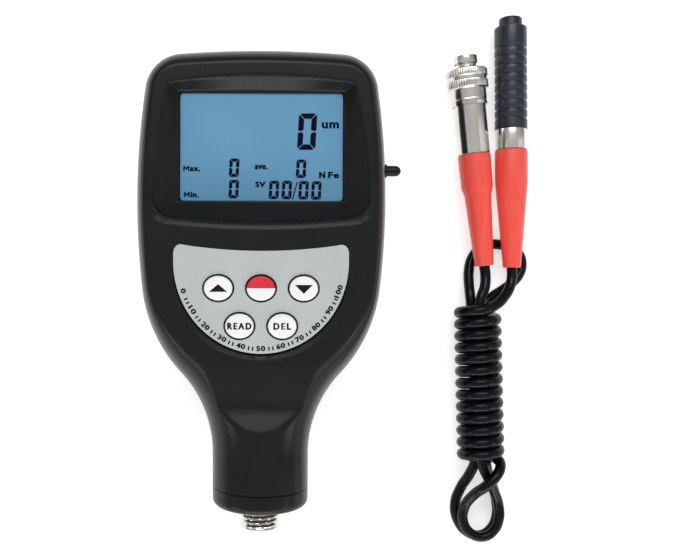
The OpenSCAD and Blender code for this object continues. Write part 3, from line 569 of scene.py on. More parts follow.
def outline(n_neck, n_waist, n_shoulder, n_side, n_corner, n_top):
    neck = np.array([[NECK_R, y, 1, 0] for y in np.linspace(-NECK_END, neck_y, n_neck)])
    return np.concatenate([
        neck, arc(waist_c, WAIST_R, math.pi, math.pi - turn_a, n_waist, -1),
        arc(shoulder_c, SHOULDER_R, -turn_a, -turn_b, n_shoulder, 1),
        arc(side_c, SIDE_R, -turn_b, a_side, n_side, 1), arc(corner_c, CORNER_R, a_side, a_top, n_corner, 1),
        arc(top_c, TOP_R, a_top, math.pi / 2, n_top, 1)])


def ease(t):
    u = np.clip(t, 0, 1)
    return u * u * (3 - 2 * u)


# Smooth minimum, blended over k.
def smin(a, b, k):
    h = np.clip(0.5 + 0.5 * (b - a) / k, 0, 1)
    return b + (a - b) * h - k * h * (1 - h)


# Where the front and the rear start to fall towards the neck.
FRONT_FALL_Y, REAR_FALL_Y, REAR_FALL_L = -20, -9, 9


def rise(y, up):
    if up > 0:
        fall = ease((FRONT_FALL_Y - y) / (FRONT_FALL_Y - neck_y))
        return FACE - PART + (NECK_R - (FACE - PART)) * fall
    return PART + (NECK_R - PART) * ease((REAR_FALL_Y - y) / REAR_FALL_L)


# Window opening: half width, centre, half height, and the flat rim round it.
WINDOW_X, WINDOW_Y, WINDOW_H = 21.7, 34.5, 14.4
WINDOW_RIM = 0.2
# Edge rounding of the case, and the groove along the parting plane.
EDGE_R, EDGE_TOP_MORE, EDGE_NECK_LESS = 4, 1.8, 0.2
SEAM_ANGLES, SEAM_DEPTHS = [0, 0.6, 1.4], [0.28, 0.05]
# Share of the half width, and of the columns, that lie over the window.
INNER_X_SHARE, INNER_COLUMNS, COLUMN_GAP = 0.77, 0.36, 0.03


def case_grid(st, up, steps, across):
    e = EDGE_R + EDGE_TOP_MORE * np.maximum(st[:, 3], 0)
    e = e + (NECK_R - EDGE_NECK_LESS - e) * ease(st[:, 1] / neck_y)
    a = np.radians(np.concatenate([SEAM_ANGLES, np.linspace(3, 90, steps - 2)]))
    groove = np.zeros(steps + 1)
    groove[:len(SEAM_DEPTHS)] = SEAM_DEPTHS
    d = e[:, None] * (1 - np.cos(a))[None, :] + groove[None, :]
    x = st[:, 0, None] - d * st[:, 2, None]
    y = st[:, 1, None] - d * st[:, 3, None]
    z = PART + up * rise(y, up) * np.sin(a)[None, :]
    half = x[:, -1:]
    split = np.minimum(WINDOW_X, INNER_X_SHARE * half)
    n_in = int(across * INNER_COLUMNS)
    n_out = across // 2 - n_in
    inner = (split - COLUMN_GAP * half / CASE_X) * np.linspace(0, 1, n_in)[None, 1:]
    outer = split + (half - split) * np.linspace(0, 1, n_out + 1)[None, :-1]
    right = np.concatenate([inner, outer], 1)[:, ::-1]
    fx = np.concatenate([right, np.zeros_like(half), -right[:, ::-1]], 1)
    fy = np.repeat(y[:, -1:], fx.shape[1], 1)
    fz = np.repeat(z[:, -1:], fx.shape[1], 1)
    gx = np.concatenate([x, fx, -x[:, ::-1]], 1)
    gy = np.concatenate([y, fy, y[:, ::-1]], 1)
    gz = np.concatenate([z, fz, z[:, ::-1]], 1)
    return gx, gy, gz


def grid_faces(rows, cols, keep=None):
    faces = []
    for j in range(rows - 1):
        for k in range(cols - 1):
            if keep is None or keep[j, k]:
                faces.append((j * cols + k, j * cols + k + 1, (j + 1) * cols + k + 1, (j + 1) * cols + k))
    return faces


# Label: half axes of its round foot, the foot's centre, its hollow top edge and its corner radius.
LABEL_A, LABEL_B, LABEL_Y = 22.8, 24.0, 4.2
LABEL_TOP, LABEL_BEND, LABEL_CORNER = 6.9, 0.003717, 2
LABEL_MEAN_R = 23


# Depth inside a corner with radius r, from the distances to its two edges.
def corner_depth(dx, dy, r):
    return np.where((dx < r) & (dy < r), r - np.hypot(r - dx, r - dy), np.minimum(dx, dy))


def label_top(x):
    return LABEL_TOP + LABEL_BEND * x * x


def label_depth(x, y):
    low = (1 - np.sqrt((x / LABEL_A) ** 2 + ((y - LABEL_Y) / LABEL_B) ** 2)) * LABEL_MEAN_R
    high = corner_depth(LABEL_A - np.abs(x), label_top(x) - y, LABEL_CORNER)
    return np.where(y < LABEL_Y, low, high)


# Raised lip round the foot of the recess, which fades out up the sides.
LIP_X, LIP_Y, LIP_CORNER, LIP_FROM_Y = 29.7, 12.2, 6, 10
LIP_SAG, LIP_SAG_X = 1.2, 23.6
LIP_RUN, LIP_SOFT, LIP_FLAT = 1.9, 0.12, 0.6
LIP_H, LIP_GAIN, LIP_END_H, LIP_END_Y, LIP_L = 1.5, 1.7, -0.2, 37.3, 26


def lip_sag(ax):
    return LIP_SAG * np.minimum(ax / LIP_SAG_X, 1) ** 2


def raise_lip(x, y, z):
    ax = np.abs(x)
    d = corner_depth(LIP_X - ax, y - LIP_Y - lip_sag(ax), LIP_CORNER)
    height = np.clip(LIP_END_H + LIP_GAIN * (LIP_END_Y - y) / LIP_L, 0, LIP_H)
    lip = height * smin(np.maximum(d / LIP_RUN, 0), 1, LIP_SOFT)
    return z + np.where((z > FACE - LIP_FLAT) & (y > LIP_FROM_Y), lip, 0)


# Shallow moat round the label, deeper towards the foot, with a sloping edge there.
MOAT_D, MOAT_FOOT_MORE, MOAT_WALL, MOAT_REACH = 0.55, 0.8, 0.35, 2.5
MOAT_LOW_Y, MOAT_LOW_RUN = 2, 20
MOAT_RIM_Y, MOAT_RIM_RUN, MOAT_RIM_IN, MOAT_RIM_MORE = 4, 6, 0.5, 0.1
MOAT_EDGE_D, MOAT_EDGE_OUT, MOAT_EDGE_RUN = 0.34, 2.0, 1.1


def cut_moat(x, y, z):
    near = label_depth(x, y)
    low = ease((MOAT_LOW_Y - y) / MOAT_LOW_RUN)
    rim = ease((MOAT_RIM_Y - y) / MOAT_RIM_RUN) - MOAT_RIM_IN + MOAT_RIM_MORE * low
    wall = ease((near + rim + MOAT_WALL) / np.maximum(rim + MOAT_WALL, MOAT_WALL))
    edge = MOAT_EDGE_D * low * np.clip((near + MOAT_EDGE_OUT) / MOAT_EDGE_RUN, 0, 1)
    dish = np.maximum((MOAT_D + MOAT_FOOT_MORE * low) * wall, edge)
    return z - np.where(z > FACE - MOAT_REACH, dish, 0)


# Sloping recess round the window: half widths at its two ends, its bowed top and its foot.
RECESS_TOP_X, RECESS_TOP_Y, RECESS_BOW = 24.5, 50.6, 2.2
RECESS_FOOT_X, RECESS_FOOT_Y, RECESS_MOST_X, RECESS_FOOT_L = 29.0, 20.2, 27.9, 5.4
RECESS_OUTER_SLOPE, WINDOW_SEAT = 14, 1.6
RECESS_FROM_Y, RECESS_WITHIN_X = 8, 33
LEAST_SIDE_RUN, LEAST_TOP_RUN = 0.5, 0.6
# Blend at the recess's edge: everywhere, more at the foot from its y down, more at the sides between two y.
ALL_SOFT, FOOT_SOFT, SIDE_SOFT = 0.6, 0.2, 1.4
FOOT_SOFT_Y, FOOT_SOFT_RUN = 20, 4
SIDE_SOFT_Y0, SIDE_SOFT_RUN0, SIDE_SOFT_Y1, SIDE_SOFT_RUN1 = 19, 8, 49, 6
HAIR = 0.01


def cut_recess(x, y, z):
    ax = np.abs(x)
    spread = (RECESS_FOOT_X - RECESS_TOP_X) / (RECESS_TOP_Y - RECESS_FOOT_Y)
    half = np.minimum(RECESS_TOP_X + (RECESS_TOP_Y - y) * spread, RECESS_MOST_X)
    rim_x, rim_h = WINDOW_X + WINDOW_RIM, WINDOW_H + WINDOW_RIM
    bow = RECESS_BOW * (1 - (x / RECESS_TOP_X) ** 2)
    t_side = (ax - rim_x) / np.maximum(half - rim_x, LEAST_SIDE_RUN)
    rim_top = WINDOW_Y + rim_h
    t_top = (y - rim_top) / np.maximum(RECESS_TOP_Y + bow - rim_top, LEAST_TOP_RUN)
    t_foot = (WINDOW_Y - rim_h - y) / (RECESS_FOOT_L - lip_sag(ax))
    t = np.hypot(np.maximum(t_side, 0), np.maximum(t_foot, 0))
    t = np.maximum(t, np.maximum(t_top, 0))
    slope = RECESS_Z + (FACE - RECESS_Z) * np.minimum(t, 1) + RECESS_OUTER_SLOPE * np.maximum(t - 1, 0)
    sides = ease((y - SIDE_SOFT_Y0) / SIDE_SOFT_RUN0) * ease((SIDE_SOFT_Y1 - y) / SIDE_SOFT_RUN1)
    blend = ALL_SOFT + FOOT_SOFT * ease((FOOT_SOFT_Y - y) / FOOT_SOFT_RUN) + SIDE_SOFT * sides
    z = np.where((y > RECESS_FROM_Y) & (ax < RECESS_WITHIN_X), smin(z, slope, blend), z)
    hole = (ax < WINDOW_X - HAIR) & (np.abs(y - WINDOW_Y) < WINDOW_H - HAIR)
    return np.where(hole, RECESS_Z - WINDOW_SEAT, z)


# Thumb rest: two slopes that meet in a soft crease.
REST_X, REST_Y, REST_Z = 20, -34.3, 26.05
REST_UP, REST_DOWN, REST_SOFT = 0.32, -0.36, 0.22
CREASE_H, CREASE_W = 0.12, 1.2


def cut_thumb_rest(x, y, z):
    v = y - REST_Y
    rest = REST_Z + np.where(v > 0, REST_UP, REST_DOWN) * v
    rest = rest + CREASE_H * np.exp(-(v / CREASE_W) ** 2)
    return np.where(np.abs(x) < REST_X, smin(z, rest, REST_SOFT), z)


# Mesh rows along the outline's stretches, then steps up the edge and columns across.
FRONT_ROWS, FRONT_STEPS, FRONT_ACROSS = (28, 52, 50, 170, 18, 14), 24, 180
REAR_ROWS, REAR_STEPS, REAR_ACROSS = (14, 30, 24, 40, 14, 14), 20, 24
# Where the front's rows sag with the lip: within a half width, and between two heights.
SAG_X, SAG_X_RUN, SAG_Y0, SAG_Y0_RUN, SAG_Y1, SAG_Y1_RUN = 32, 2, 7.5, 4, 19.5, 3
WINDOW_WALL = 0.998


def front_shell():
    gx, gy, gz = case_grid(outline(*FRONT_ROWS), 1, FRONT_STEPS, FRONT_ACROSS)
    rows, cols = gx.shape
    # Rows that follow the lip, then rows that follow the window's ends.
    ax = np.abs(gx)
    band = ease((gy - SAG_Y0) / SAG_Y0_RUN) * ease((SAG_Y1 - gy) / SAG_Y1_RUN)
    gy = gy + lip_sag(ax) * ease((SAG_X - ax) / SAG_X_RUN) * band
    mid = gy[:, cols // 2]
    wide = ax < WINDOW_X + WINDOW_RIM
    for edge in (WINDOW_H, -WINDOW_H):
        j = int(np.argmin(np.abs(mid - (WINDOW_Y + edge))))
        k = j - 1 if edge > 0 else j + 1
        gy[j] = np.where(wide[j], WINDOW_Y + edge, gy[j])
        gy[k] = np.where(wide[k], WINDOW_Y + edge * WINDOW_WALL, gy[k])
    for form in (raise_lip, cut_moat, cut_recess, cut_thumb_rest):
        gz = form(gx, gy, gz)
    # Openings for the window and the keys.
    cx = (gx[:-1, :-1] + gx[1:, 1:]) / 2
    cy = (gy[:-1, :-1] + gy[1:, 1:]) / 2
    keep = ~((np.abs(cx) < WINDOW_X - WINDOW_RIM) & (np.abs(cy - WINDOW_Y) < WINDOW_H - WINDOW_RIM))
    for kx, ky in KEYS.values():
        keep &= ((cx - kx) / (KEY_A + KEY_FLANGE)) ** 2 + ((cy - ky) / (KEY_B + KEY_FLANGE)) ** 2 > 1
    verts = np.stack([gx, gy, gz], -1).reshape(-1, 3)
    faces = grid_faces(rows, cols, keep)
    piece("front_case", verts, faces, case_mat, "gauge", ["front_shell"], "case", 50)


def cutter(verts, faces):
    return add("cutter", closed_mesh("cutter", verts, faces))


def cube(x0, x1, y0, y1, z0, z1):
    return prism([[(x0, y0), (x1, y0), (x1, y1), (x0, y1)]], z0, z1)


# Battery door's slide with its side grooves, the battery bay and the screw holes.
DOOR_X, DOOR_GROOVE_X, DOOR_Y, DOOR_OUT_Y = 22.2, 23.7, 2.4, 66
DOOR_Z, DOOR_GROOVE_Z, BELOW = 2.05, 0.9, -1
BAY_X, BAY_Y0, BAY_Y1, BAY_Z0, BAY_Z1 = 22.6, 3.6, 55.2, 1.5, 14.6
SCREWS_AT = ((-27.3, 47), (27.3, 47), (-27, -3), (27, -3))
SCREW_HOLE_R, SCREW_HOLE_Z = 2.2, 4.3


def rear_shell():
    gx, gy, gz = case_grid(outline(*REAR_ROWS), -1, REAR_STEPS, REAR_ACROSS)
    rows, cols = gx.shape
    verts = np.stack([gx, gy, gz], -1).reshape(-1, 3).tolist()
    faces = grid_faces(rows, cols)
    # The parting plane and the neck's end close the solid.
    left = [j * cols + cols - 1 for j in range(rows)]
    right = [j * cols for j in range(rows)]
    for j in range(rows - 1):
        faces.append((left[j], right[j], right[j + 1], left[j + 1]))
    faces.append(tuple(range(cols)))
    ob = piece("rear_case", verts, faces, grip_mat, "gauge", ["rear_shell"], "case", 40)
    solids = [cube(-DOOR_X, DOOR_X, DOOR_Y, DOOR_OUT_Y, BELOW, DOOR_Z),
              cube(-DOOR_GROOVE_X, DOOR_GROOVE_X, DOOR_Y, DOOR_OUT_Y, DOOR_GROOVE_Z, DOOR_Z),
              cube(-BAY_X, BAY_X, BAY_Y0, BAY_Y1, BAY_Z0, BAY_Z1)]
    solids += [prism([ellipse(x, y, SCREW_HOLE_R, SCREW_HOLE_R, 40)], BELOW, SCREW_HOLE_Z)
               for x, y in SCREWS_AT]
    cuts = [cutter(*solid) for solid in solids]
    for c in cuts:
        md = ob.modifiers.new("cut", "BOOLEAN")
        md.operation = "DIFFERENCE"
        md.solver = "EXACT"
        md.object = c
    me = evaluated(ob)
    ob.modifiers.clear()
    ob.data = me
    shade(me, 35)
    for c in cuts:
        bpy.data.objects.remove(c)


front_shell()
rear_shell()

# End cap and threaded socket, measured down the neck.
NECK = ((0, 0, PART), (0, -1, 0))
CAP_EDGE_R, CAP_BORE_R = 2.2, 4.7
quarter = np.linspace(0, math.pi / 2, 12)
cap_edge = [(CAP_END + CAP_EDGE_R * (math.sin(t) - 1), NECK_R + CAP_EDGE_R * (math.cos(t) - 1))
            for t in quarter]
cap_prof = [(NECK_END, 6.4), (NECK_END + 0.05, 12.9), (NECK_END + 0.35, NECK_R)] + cap_edge
cap_prof += [(CAP_END, 5.0), (CAP_END - 0.3, CAP_BORE_R + 0.02), (NECK_END, CAP_BORE_R)]
turned("neck_cap", cap_prof, *NECK, case_mat, "gauge", ["end_cap"], "case", n=128, angle=40)

COLLAR_R, COLLAR_BORE_R, SHANK_R, SHANK_BORE_R = 5.4, 3.5, 4.6, 3.0
COLLAR_FOOT, COLLAR_SEAT, COLLAR_BORE_END, COLLAR_END = 57.0, 63.0, 64.4, 69.0
THREAD_FROM, THREAD_TO, THREAD_PITCH, THREAD_DEPTH, THREAD_FADE = 63.4, 68.4, 1.2, 0.45, 0.5
THREAD_LEAST_R = 4.9


def thread(s, r, a):
    if not THREAD_FROM < s < THREAD_TO or r < THREAD_LEAST_R:
        return 0.0
    p = ((s - THREAD_FROM) / THREAD_PITCH - a / (2 * math.pi)) % 1.0
    fade = min(1.0, (s - THREAD_FROM) / THREAD_FADE, (THREAD_TO - s) / THREAD_FADE)
    return -THREAD_DEPTH * abs(2 * p - 1) * fade


collar = [(COLLAR_FOOT, SHANK_R), (COLLAR_SEAT, SHANK_R), (COLLAR_SEAT, COLLAR_R - 0.1)]
collar += [(COLLAR_SEAT + 0.1, COLLAR_R)]
collar += [(s, COLLAR_R) for s in np.linspace(THREAD_FROM, THREAD_TO, 54)]
collar += [(COLLAR_END - 0.3, COLLAR_R), (COLLAR_END, COLLAR_R - 0.25), (COLLAR_END, COLLAR_BORE_R + 0.6)]
collar += [(COLLAR_END - 0.3, COLLAR_BORE_R), (COLLAR_BORE_END, COLLAR_BORE_R)]
collar += [(COLLAR_BORE_END, SHANK_BORE_R), (COLLAR_FOOT, SHANK_BORE_R), (COLLAR_FOOT, SHANK_R)]
turned("socket_collar", collar, *NECK, nickel_mat, "gauge", ["socket_shell"], "nickel",
       n=120, angle=28, shape=thread)

# Label film with key openings.
FILM_FOOT, FILM = FACE - 0.4, FACE + 0.05
KEY_GAP = 0.2
LABEL_EAR = [(LABEL_A, 5.6), (22.78, 6.6), (22.55, 7.5), (22.0, 8.2), (21.2, 8.56), (20.4, 8.5)]
LABEL_TOP_X = 19.6
label_edge = [(LABEL_A * math.cos(-t), LABEL_Y + LABEL_B * math.sin(-t)) for t in np.linspace(0, math.pi, 73)]
label_edge += [(-x, y) for x, y in LABEL_EAR]
label_edge += [(x, label_top(x)) for x in np.linspace(-LABEL_TOP_X, LABEL_TOP_X, 41)]
label_edge += LABEL_EAR[::-1]


def film(name, outer, holes, z0, z1, mat, replaces, slot):
    cu = bpy.data.curves.new(name, "CURVE")
    cu.dimensions = "2D"
    cu.fill_mode = "BOTH"
    cu.extrude = (z1 - z0) / 2 * MM
    for loop in [outer] + holes:
        sp = cu.splines.new("POLY")
        sp.points.add(len(loop) - 1)
        for q, p in zip(sp.points, loop):
            q.co = (p[0] * MM, p[1] * MM, 0, 1)
        sp.use_cyclic_u = True
    tmp = add(name + "_tmp", cu)
    me = evaluated(tmp)
    verts = [(v.co.x / MM, v.co.y / MM, v.co.z / MM + (z0 + z1) / 2) for v in me.vertices]
    faces = [tuple(p.vertices) for p in me.polygons]
    bpy.data.objects.remove(tmp)
    bpy.data.curves.remove(cu)
    bpy.data.meshes.remove(me)
    piece(name, verts, faces, mat, "gauge", replaces, slot, 40)


key_holes = [ellipse(x, y, KEY_A + KEY_GAP, KEY_B + KEY_GAP) for x, y in KEYS.values()]
film("keypad_film", label_edge, key_holes, FILM_FOOT, FILM, label_mat, ["face_label"], "label")

# Printed rings and scale marks on the film.
PRINT_Z = (FILM - 0.02, FILM + 0.02)
KEY_RING_W = 0.30
MARK_IN, MARK_STEP, MARKS_A_SIDE, MARKS_A_NUMBER = 1.35, 2.8, 25, 5
NUMBER_X, NUMBER_Y, NUMBER_BOLD = 0.55, 0.65, 0.1
TICK_X, TICK_FOOT, TICK_TOP = 0.2, -0.65, 0.35
TICK = ((-TICK_X, TICK_FOOT), (TICK_X, TICK_FOOT), (TICK_X, TICK_TOP), (-TICK_X, TICK_TOP))
marks = [ring_band(x, y, KEY_A + KEY_GAP, KEY_B + KEY_GAP, KEY_RING_W, *PRINT_Z) for x, y in KEYS.values()]
for i in range(-MARKS_A_SIDE, MARKS_A_SIDE + 1):
    t = math.radians(270 + MARK_STEP * i)
    foot = np.array([(LABEL_A - MARK_IN) * math.cos(t), LABEL_Y + (LABEL_B - MARK_IN) * math.sin(t)])
    up = -np.array([math.cos(t), math.sin(t)])
    side = np.array([up[1], -up[0]])
    if i % MARKS_A_NUMBER == 0:
        body = str(10 * (i // MARKS_A_NUMBER + MARKS_A_SIDE // MARKS_A_NUMBER))
        wide = NUMBER_X * len(body)
        verts, faces = bold_text(body, -wide, wide, -NUMBER_Y, NUMBER_Y, *PRINT_Z, NUMBER_BOLD)
        marks.append(([(*(foot + side * x + up * y), z) for x, y, z in verts], faces))
    elif i % MARKS_A_NUMBER in (2, 3):
        marks.append(prism([[tuple(foot + side * x + up * y) for x, y in TICK]], *PRINT_Z))
piece("film_print", *merge(*marks), print_mat, "gauge", slot="label", angle=30)

# Key caps with a flange below the film, a rounded rim and a slight crown.
KEY_FOOT, FLANGE_TOP, RIM_FOOT, KEY_TOP = 26.9, 27.6, 29.9, 30.5
RIM_R, CROWN = 0.45, 0.06


def key_cap(name, cx, cy, mat, slot):
    n = 72
    rings = [(KEY_FOOT, 0.0), (KEY_FOOT, KEY_FLANGE), (FLANGE_TOP, KEY_FLANGE)]
    rings += [(FLANGE_TOP, 0.0), (RIM_FOOT, 0.0)]
    rings += [(KEY_TOP - CROWN + RIM_R * (math.sin(t) - 1), RIM_R * (math.cos(t) - 1))
              for t in np.linspace(0.1, math.pi / 2, 8)]
    loops = [(z, KEY_A + o, KEY_B + o) for z, o in rings]
    loops += [(KEY_TOP - CROWN * f * f, (KEY_A - RIM_R) * f, (KEY_B - RIM_R) * f) for f in (0.75, 0.5, 0.25)]
    verts = [(x, y, z) for z, a, b in loops for x, y in ellipse(cx, cy, a, b, n)]
    faces = ring_faces(len(loops), n)
    faces += [tuple(range(n)), tuple(range((len(loops) - 1) * n, len(loops) * n))]
    piece(name + "_cap", verts, faces, mat, name, [name], slot, 40)


for key, (kx, ky) in KEYS.items():
    red = key == "key_power"
    key_cap(key, kx, ky, power_mat if red else key_mat, "key_red" if red else "key_white")

# Legends on the keys.
LEGEND_Z = (KEY_TOP - 0.04, KEY_TOP)
WORD_Y0, WORD_Y1, WORD_BOLD, WORD_GAP = -13.45, -11.8, 0.11, 1.36
READ_X, DELETE_X = 3.05, 2.2
UP_X, UP_FOOT, UP_TOP = 2.35, -3.75, -1.75
DOWN_X, DOWN_FOOT, DOWN_TOP = 2.3, -4.2, -1.9


def key_word(name, body, half, key):
    mid = KEYS[key][0]
    word = bold_text(body, mid - half, mid + half, WORD_Y0, WORD_Y1, *LEGEND_Z, WORD_BOLD, WORD_GAP)
    piece(name, *word, print_mat, key, slot="key_white")


up_mark = [(-KEY_PITCH - UP_X, UP_FOOT), (-KEY_PITCH + UP_X, UP_FOOT), (-KEY_PITCH, UP_TOP)]
down_mark = [(KEY_PITCH - DOWN_X, DOWN_TOP), (KEY_PITCH, DOWN_FOOT), (KEY_PITCH + DOWN_X, DOWN_TOP)]
piece("mark_up", *prism([up_mark], *LEGEND_Z), print_mat, "key_up", slot="key_white")
piece("mark_down", *prism([down_mark], *LEGEND_Z), print_mat, "key_down", slot="key_white")
key_word("mark_read", "READ", READ_X, "key_read")
key_word("mark_delete", "DEL", DELETE_X, "key_delete")

# Display contents, on the panel just under the window.
LCD_Z = 25.5
INK_Z = (LCD_Z - 0.01, LCD_Z + 0.03)
# Digits: width, height, stroke and slant, and their lower left corners.
BIG, BIG_AT = (4.85, 9.65, 1.45, 0.055), (9.38, 33.84)
SMALL = (2.62, 4.88, 0.86, 0.05)
SMALL_AT = [(-8.65, 26.61), (9.08, 26.40), (-8.74, 20.95), (1.91, 20.76), (5.30, 20.76), (9.75, 20.70),
            (13.13, 20.65)]
DASH = [(8.05, 20.72), (8.38, 20.72), (9.70, 25.35), (9.37, 25.35)]


# A nought made of six segments with cut corners.
def digit(x0, y0, wd, h, w, slant):
    g = w * 0.07
    m = h / 2
    c = w * 0.42
    top = [(c + g, h), (wd - c - g, h), (wd - c * 0.5 - g, h - c * 0.35), (wd - w - g, h - w), (w + g, h - w),
           (c * 0.5 + g, h - c * 0.35)]
    left = [(0, h - c - g), (c * 0.4, h - c * 0.45 - g), (w, h - w - g), (w, m + w * 0.35), (w * 0.5, m + g),
            (0, m + w * 0.2)]
    segs = [top, left, [(wd - x, y) for x, y in left]]
    segs += [[(x, h - y) for x, y in seg] for seg in segs]
    return [[(x0 + x + slant * y, y0 + y) for x, y in seg] for seg in segs]


lcd_polys = digit(*BIG_AT, *BIG)
for at in SMALL_AT:
    lcd_polys += digit(*at, *SMALL)
lcd_polys.append(DASH)
piece("lcd_digits", *prism(lcd_polys, *INK_Z), ink_mat, "gauge", slot="lcd", angle=30)

# Words on the display, each with its box, and the two capital letters M that are drawn as strokes.
LCD_BOLD = 0.12
M_W, M_H, M_T, M_ARM, M_DIP = 1.55, 1.42, 0.36, 0.62, 0.22


def lcd_word(body, x0, x1, y0, y1):
    return bold_text(body, x0, x1, y0, y1, *INK_Z, LCD_BOLD)


def lcd_m(x0, y0):
    leg = [(0, 0), (M_T, 0), (M_T, M_H), (0, M_H)]
    arm = [(M_T, M_H), (M_T, M_H - M_ARM), (M_W / 2, M_DIP), (M_W / 2, M_DIP + M_ARM)]
    polys = [leg, [(M_W - x, y) for x, y in leg], arm, [(M_W - x, y) for x, y in arm]]
    return prism([[(x0 + x, y0 + y) for x, y in q] for q in polys], *INK_Z)


words = [lcd_word("um", 16.05, 20.40, 39.56, 41.15), lcd_m(-20.70, 28.10),
         lcd_word("ax.", -18.92, -16.25, 28.10, 29.12), lcd_word("ave.", -1.70, 1.58, 28.68, 29.78),
         lcd_word("N", 15.38, 16.80, 26.37, 28.00), lcd_word("Fe", 17.75, 20.48, 26.37, 28.00),
         lcd_m(-20.50, 21.14), lcd_word("in.", -18.66, -16.60, 21.14, 22.53),
         lcd_word("SV", -1.50, 0.98, 23.95, 25.34)]
piece("lcd_words", *merge(*words), ink_mat, "gauge", slot="lcd", angle=30)

# Boots of the probe and the plug: the cord's hole, the outer radius and the socket for the metal core.
CORD_HOLE_R, BOOT_R, CORE_R, CORE_FIT_R, BOOT_SOFT = 1.52, 4.6, 3.2, 3.15, 0.5
FLOOR_GAP = 0.1


def boot_profile(tip_r, steps, end, core_foot):
    edge = soft([(0, CORD_HOLE_R), (0, tip_r), *steps, (end - 0.1, BOOT_R), (end, CORE_R)], BOOT_SOFT)
    return [(0, CORD_HOLE_R)] + edge + [(core_foot, CORE_R), (core_foot, 0.0)]


# Probe, measured from the boot's small end along its axis.
PROBE_AT = (72.2, 3.1, 6.75)
BOOT_END, BAND_END, SLEEVE_END = 34.0, 39.8, 69.6
BOOT_TIP_R, BOOT_STEP, CORE_FOOT = 2.5, [(25.16, BOOT_R)], 23.0
BAND_R, SPIGOT_R, SPIGOT_END = 4.45, 3.85, 47.0
SLEEVE_R, SLEEVE_BORE_R = 4.55, 3.9
MOUTH_R, MOUTH_FOOT = 3.3, 65.6
GROOVES, GROOVE_PITCH, GROOVE_R, GROOVES_BELOW_END = 9, 2.55, 4.2, 4.6
dip = math.asin((PROBE_AT[2] - SLEEVE_R - FLOOR_GAP) / SLEEVE_END)
PROBE = (PROBE_AT, (0, math.cos(dip), -math.sin(dip)))
boot_prof = boot_profile(BOOT_TIP_R, BOOT_STEP, BOOT_END, CORE_FOOT)
turned("probe_strain_boot", boot_prof, *PROBE, boot_mat, "gauge", ["probe_boot"], "boot")
band_prof = [(CORE_FOOT, 0.0), (CORE_FOOT, CORE_FIT_R), (BOOT_END - 0.1, CORE_FIT_R)]
band_prof += soft([(BOOT_END, CORE_R), (BOOT_END, BAND_R), (BAND_END, BAND_R),
                   (BAND_END, SLEEVE_BORE_R)], 0.12, 3)
band_prof += [(SPIGOT_END, SPIGOT_R), (SPIGOT_END, 0.0)]
turned("probe_collar", band_prof, *PROBE, nickel_mat, "gauge", ["probe_band"], "nickel")
first_groove = SLEEVE_END - GROOVES_BELOW_END - GROOVES * GROOVE_PITCH
groove = [(BAND_END, SLEEVE_BORE_R), (BAND_END, SLEEVE_R - 0.1), (BAND_END + 0.3, SLEEVE_R)]
groove += [(first_groove, SLEEVE_R)]
for i in range(GROOVES):
    s = first_groove + i * GROOVE_PITCH
    groove += [(s + 0.6, SLEEVE_R), (s + 0.8, GROOVE_R), (s + 1.25, GROOVE_R), (s + 1.5, SLEEVE_R)]
groove += [(SLEEVE_END - 0.2, SLEEVE_R), (SLEEVE_END, SLEEVE_R - 0.2), (SLEEVE_END, MOUTH_R)]
sleeve_prof = soft(groove, 0.10, 3) + [(MOUTH_FOOT, MOUTH_R), (MOUTH_FOOT, SLEEVE_BORE_R)]
sleeve_prof += [(BAND_END, SLEEVE_BORE_R)]
turned("probe_grip", sleeve_prof, *PROBE, sleeve_mat, "gauge", ["probe_sleeve"], "sleeve")
# Nose with a flange behind the sleeve's mouth, a spring seat and a hole for the sensor's pole.
NOSE_R, NOSE_END, NOSE_POLE_R = 3.25, 72.4, 0.75
NOSE_FLANGE_R, NOSE_FLANGE_FOOT, SPRING_SEAT, SPRING_SEAT_R = 3.8, 62.3, 64.3, 2.9
NOSE_DISH, POLE_SEAT = 72.15, 67.2
nose_prof = [(SPRING_SEAT, 0.0), (SPRING_SEAT, SPRING_SEAT_R), (NOSE_FLANGE_FOOT, SPRING_SEAT_R),
             (NOSE_FLANGE_FOOT, NOSE_FLANGE_R), (MOUTH_FOOT - 0.1, NOSE_FLANGE_R), (MOUTH_FOOT - 0.1, NOSE_R),
             (NOSE_END - 0.7, NOSE_R)]
nose_prof += soft([(NOSE_END - 0.7, NOSE_R), (NOSE_END, 3.1), (NOSE_END, 1.6), (NOSE_DISH, 1.1),
                   (NOSE_DISH, NOSE_POLE_R)], 0.25)
nose_prof += [(POLE_SEAT, NOSE_POLE_R), (POLE_SEAT, 0.0)]
turned("probe_tip", nose_prof, *PROBE, nose_mat, "probe_nose", ["probe_nose"], "nose")

# Plug, measured from the boot's small end along its axis. The nut's full radius sets its tilt.
PLUG_AT = (64.4, 3.6, 6.4)
PLUG_BOOT_END, BARREL_END, NUT_END = 32.3, 51.6, 56.5
PLUG_TIP_R, PLUG_STEP, PLUG_CORE_FOOT = 2.65, [(20.4, 3.75), (22.7, 4.45)], 21.3
BARREL_R, BARREL_BORE_R, BARREL_BORE_FOOT = 4.55, 3.42, 47.7
NUT_FULL_R, PLUG_LEAN = 6.1, 5.5
lean = math.radians(PLUG_LEAN)
pdip = math.asin((PLUG_AT[2] - NUT_FULL_R - FLOOR_GAP) / NUT_END)
PLUG = (PLUG_AT, (-math.sin(lean) * math.cos(pdip), math.cos(lean) * math.cos(pdip), -math.sin(pdip)))
plug_boot_prof = boot_profile(PLUG_TIP_R, PLUG_STEP, PLUG_BOOT_END, PLUG_CORE_FOOT)
boot2 = turned("plug_strain_boot", plug_boot_prof, *PLUG, boot_mat, "gauge", ["plug_boot"], "boot")
barrel_prof = [(PLUG_CORE_FOOT, 0.0), (PLUG_CORE_FOOT, CORE_FIT_R), (PLUG_BOOT_END, CORE_FIT_R)]
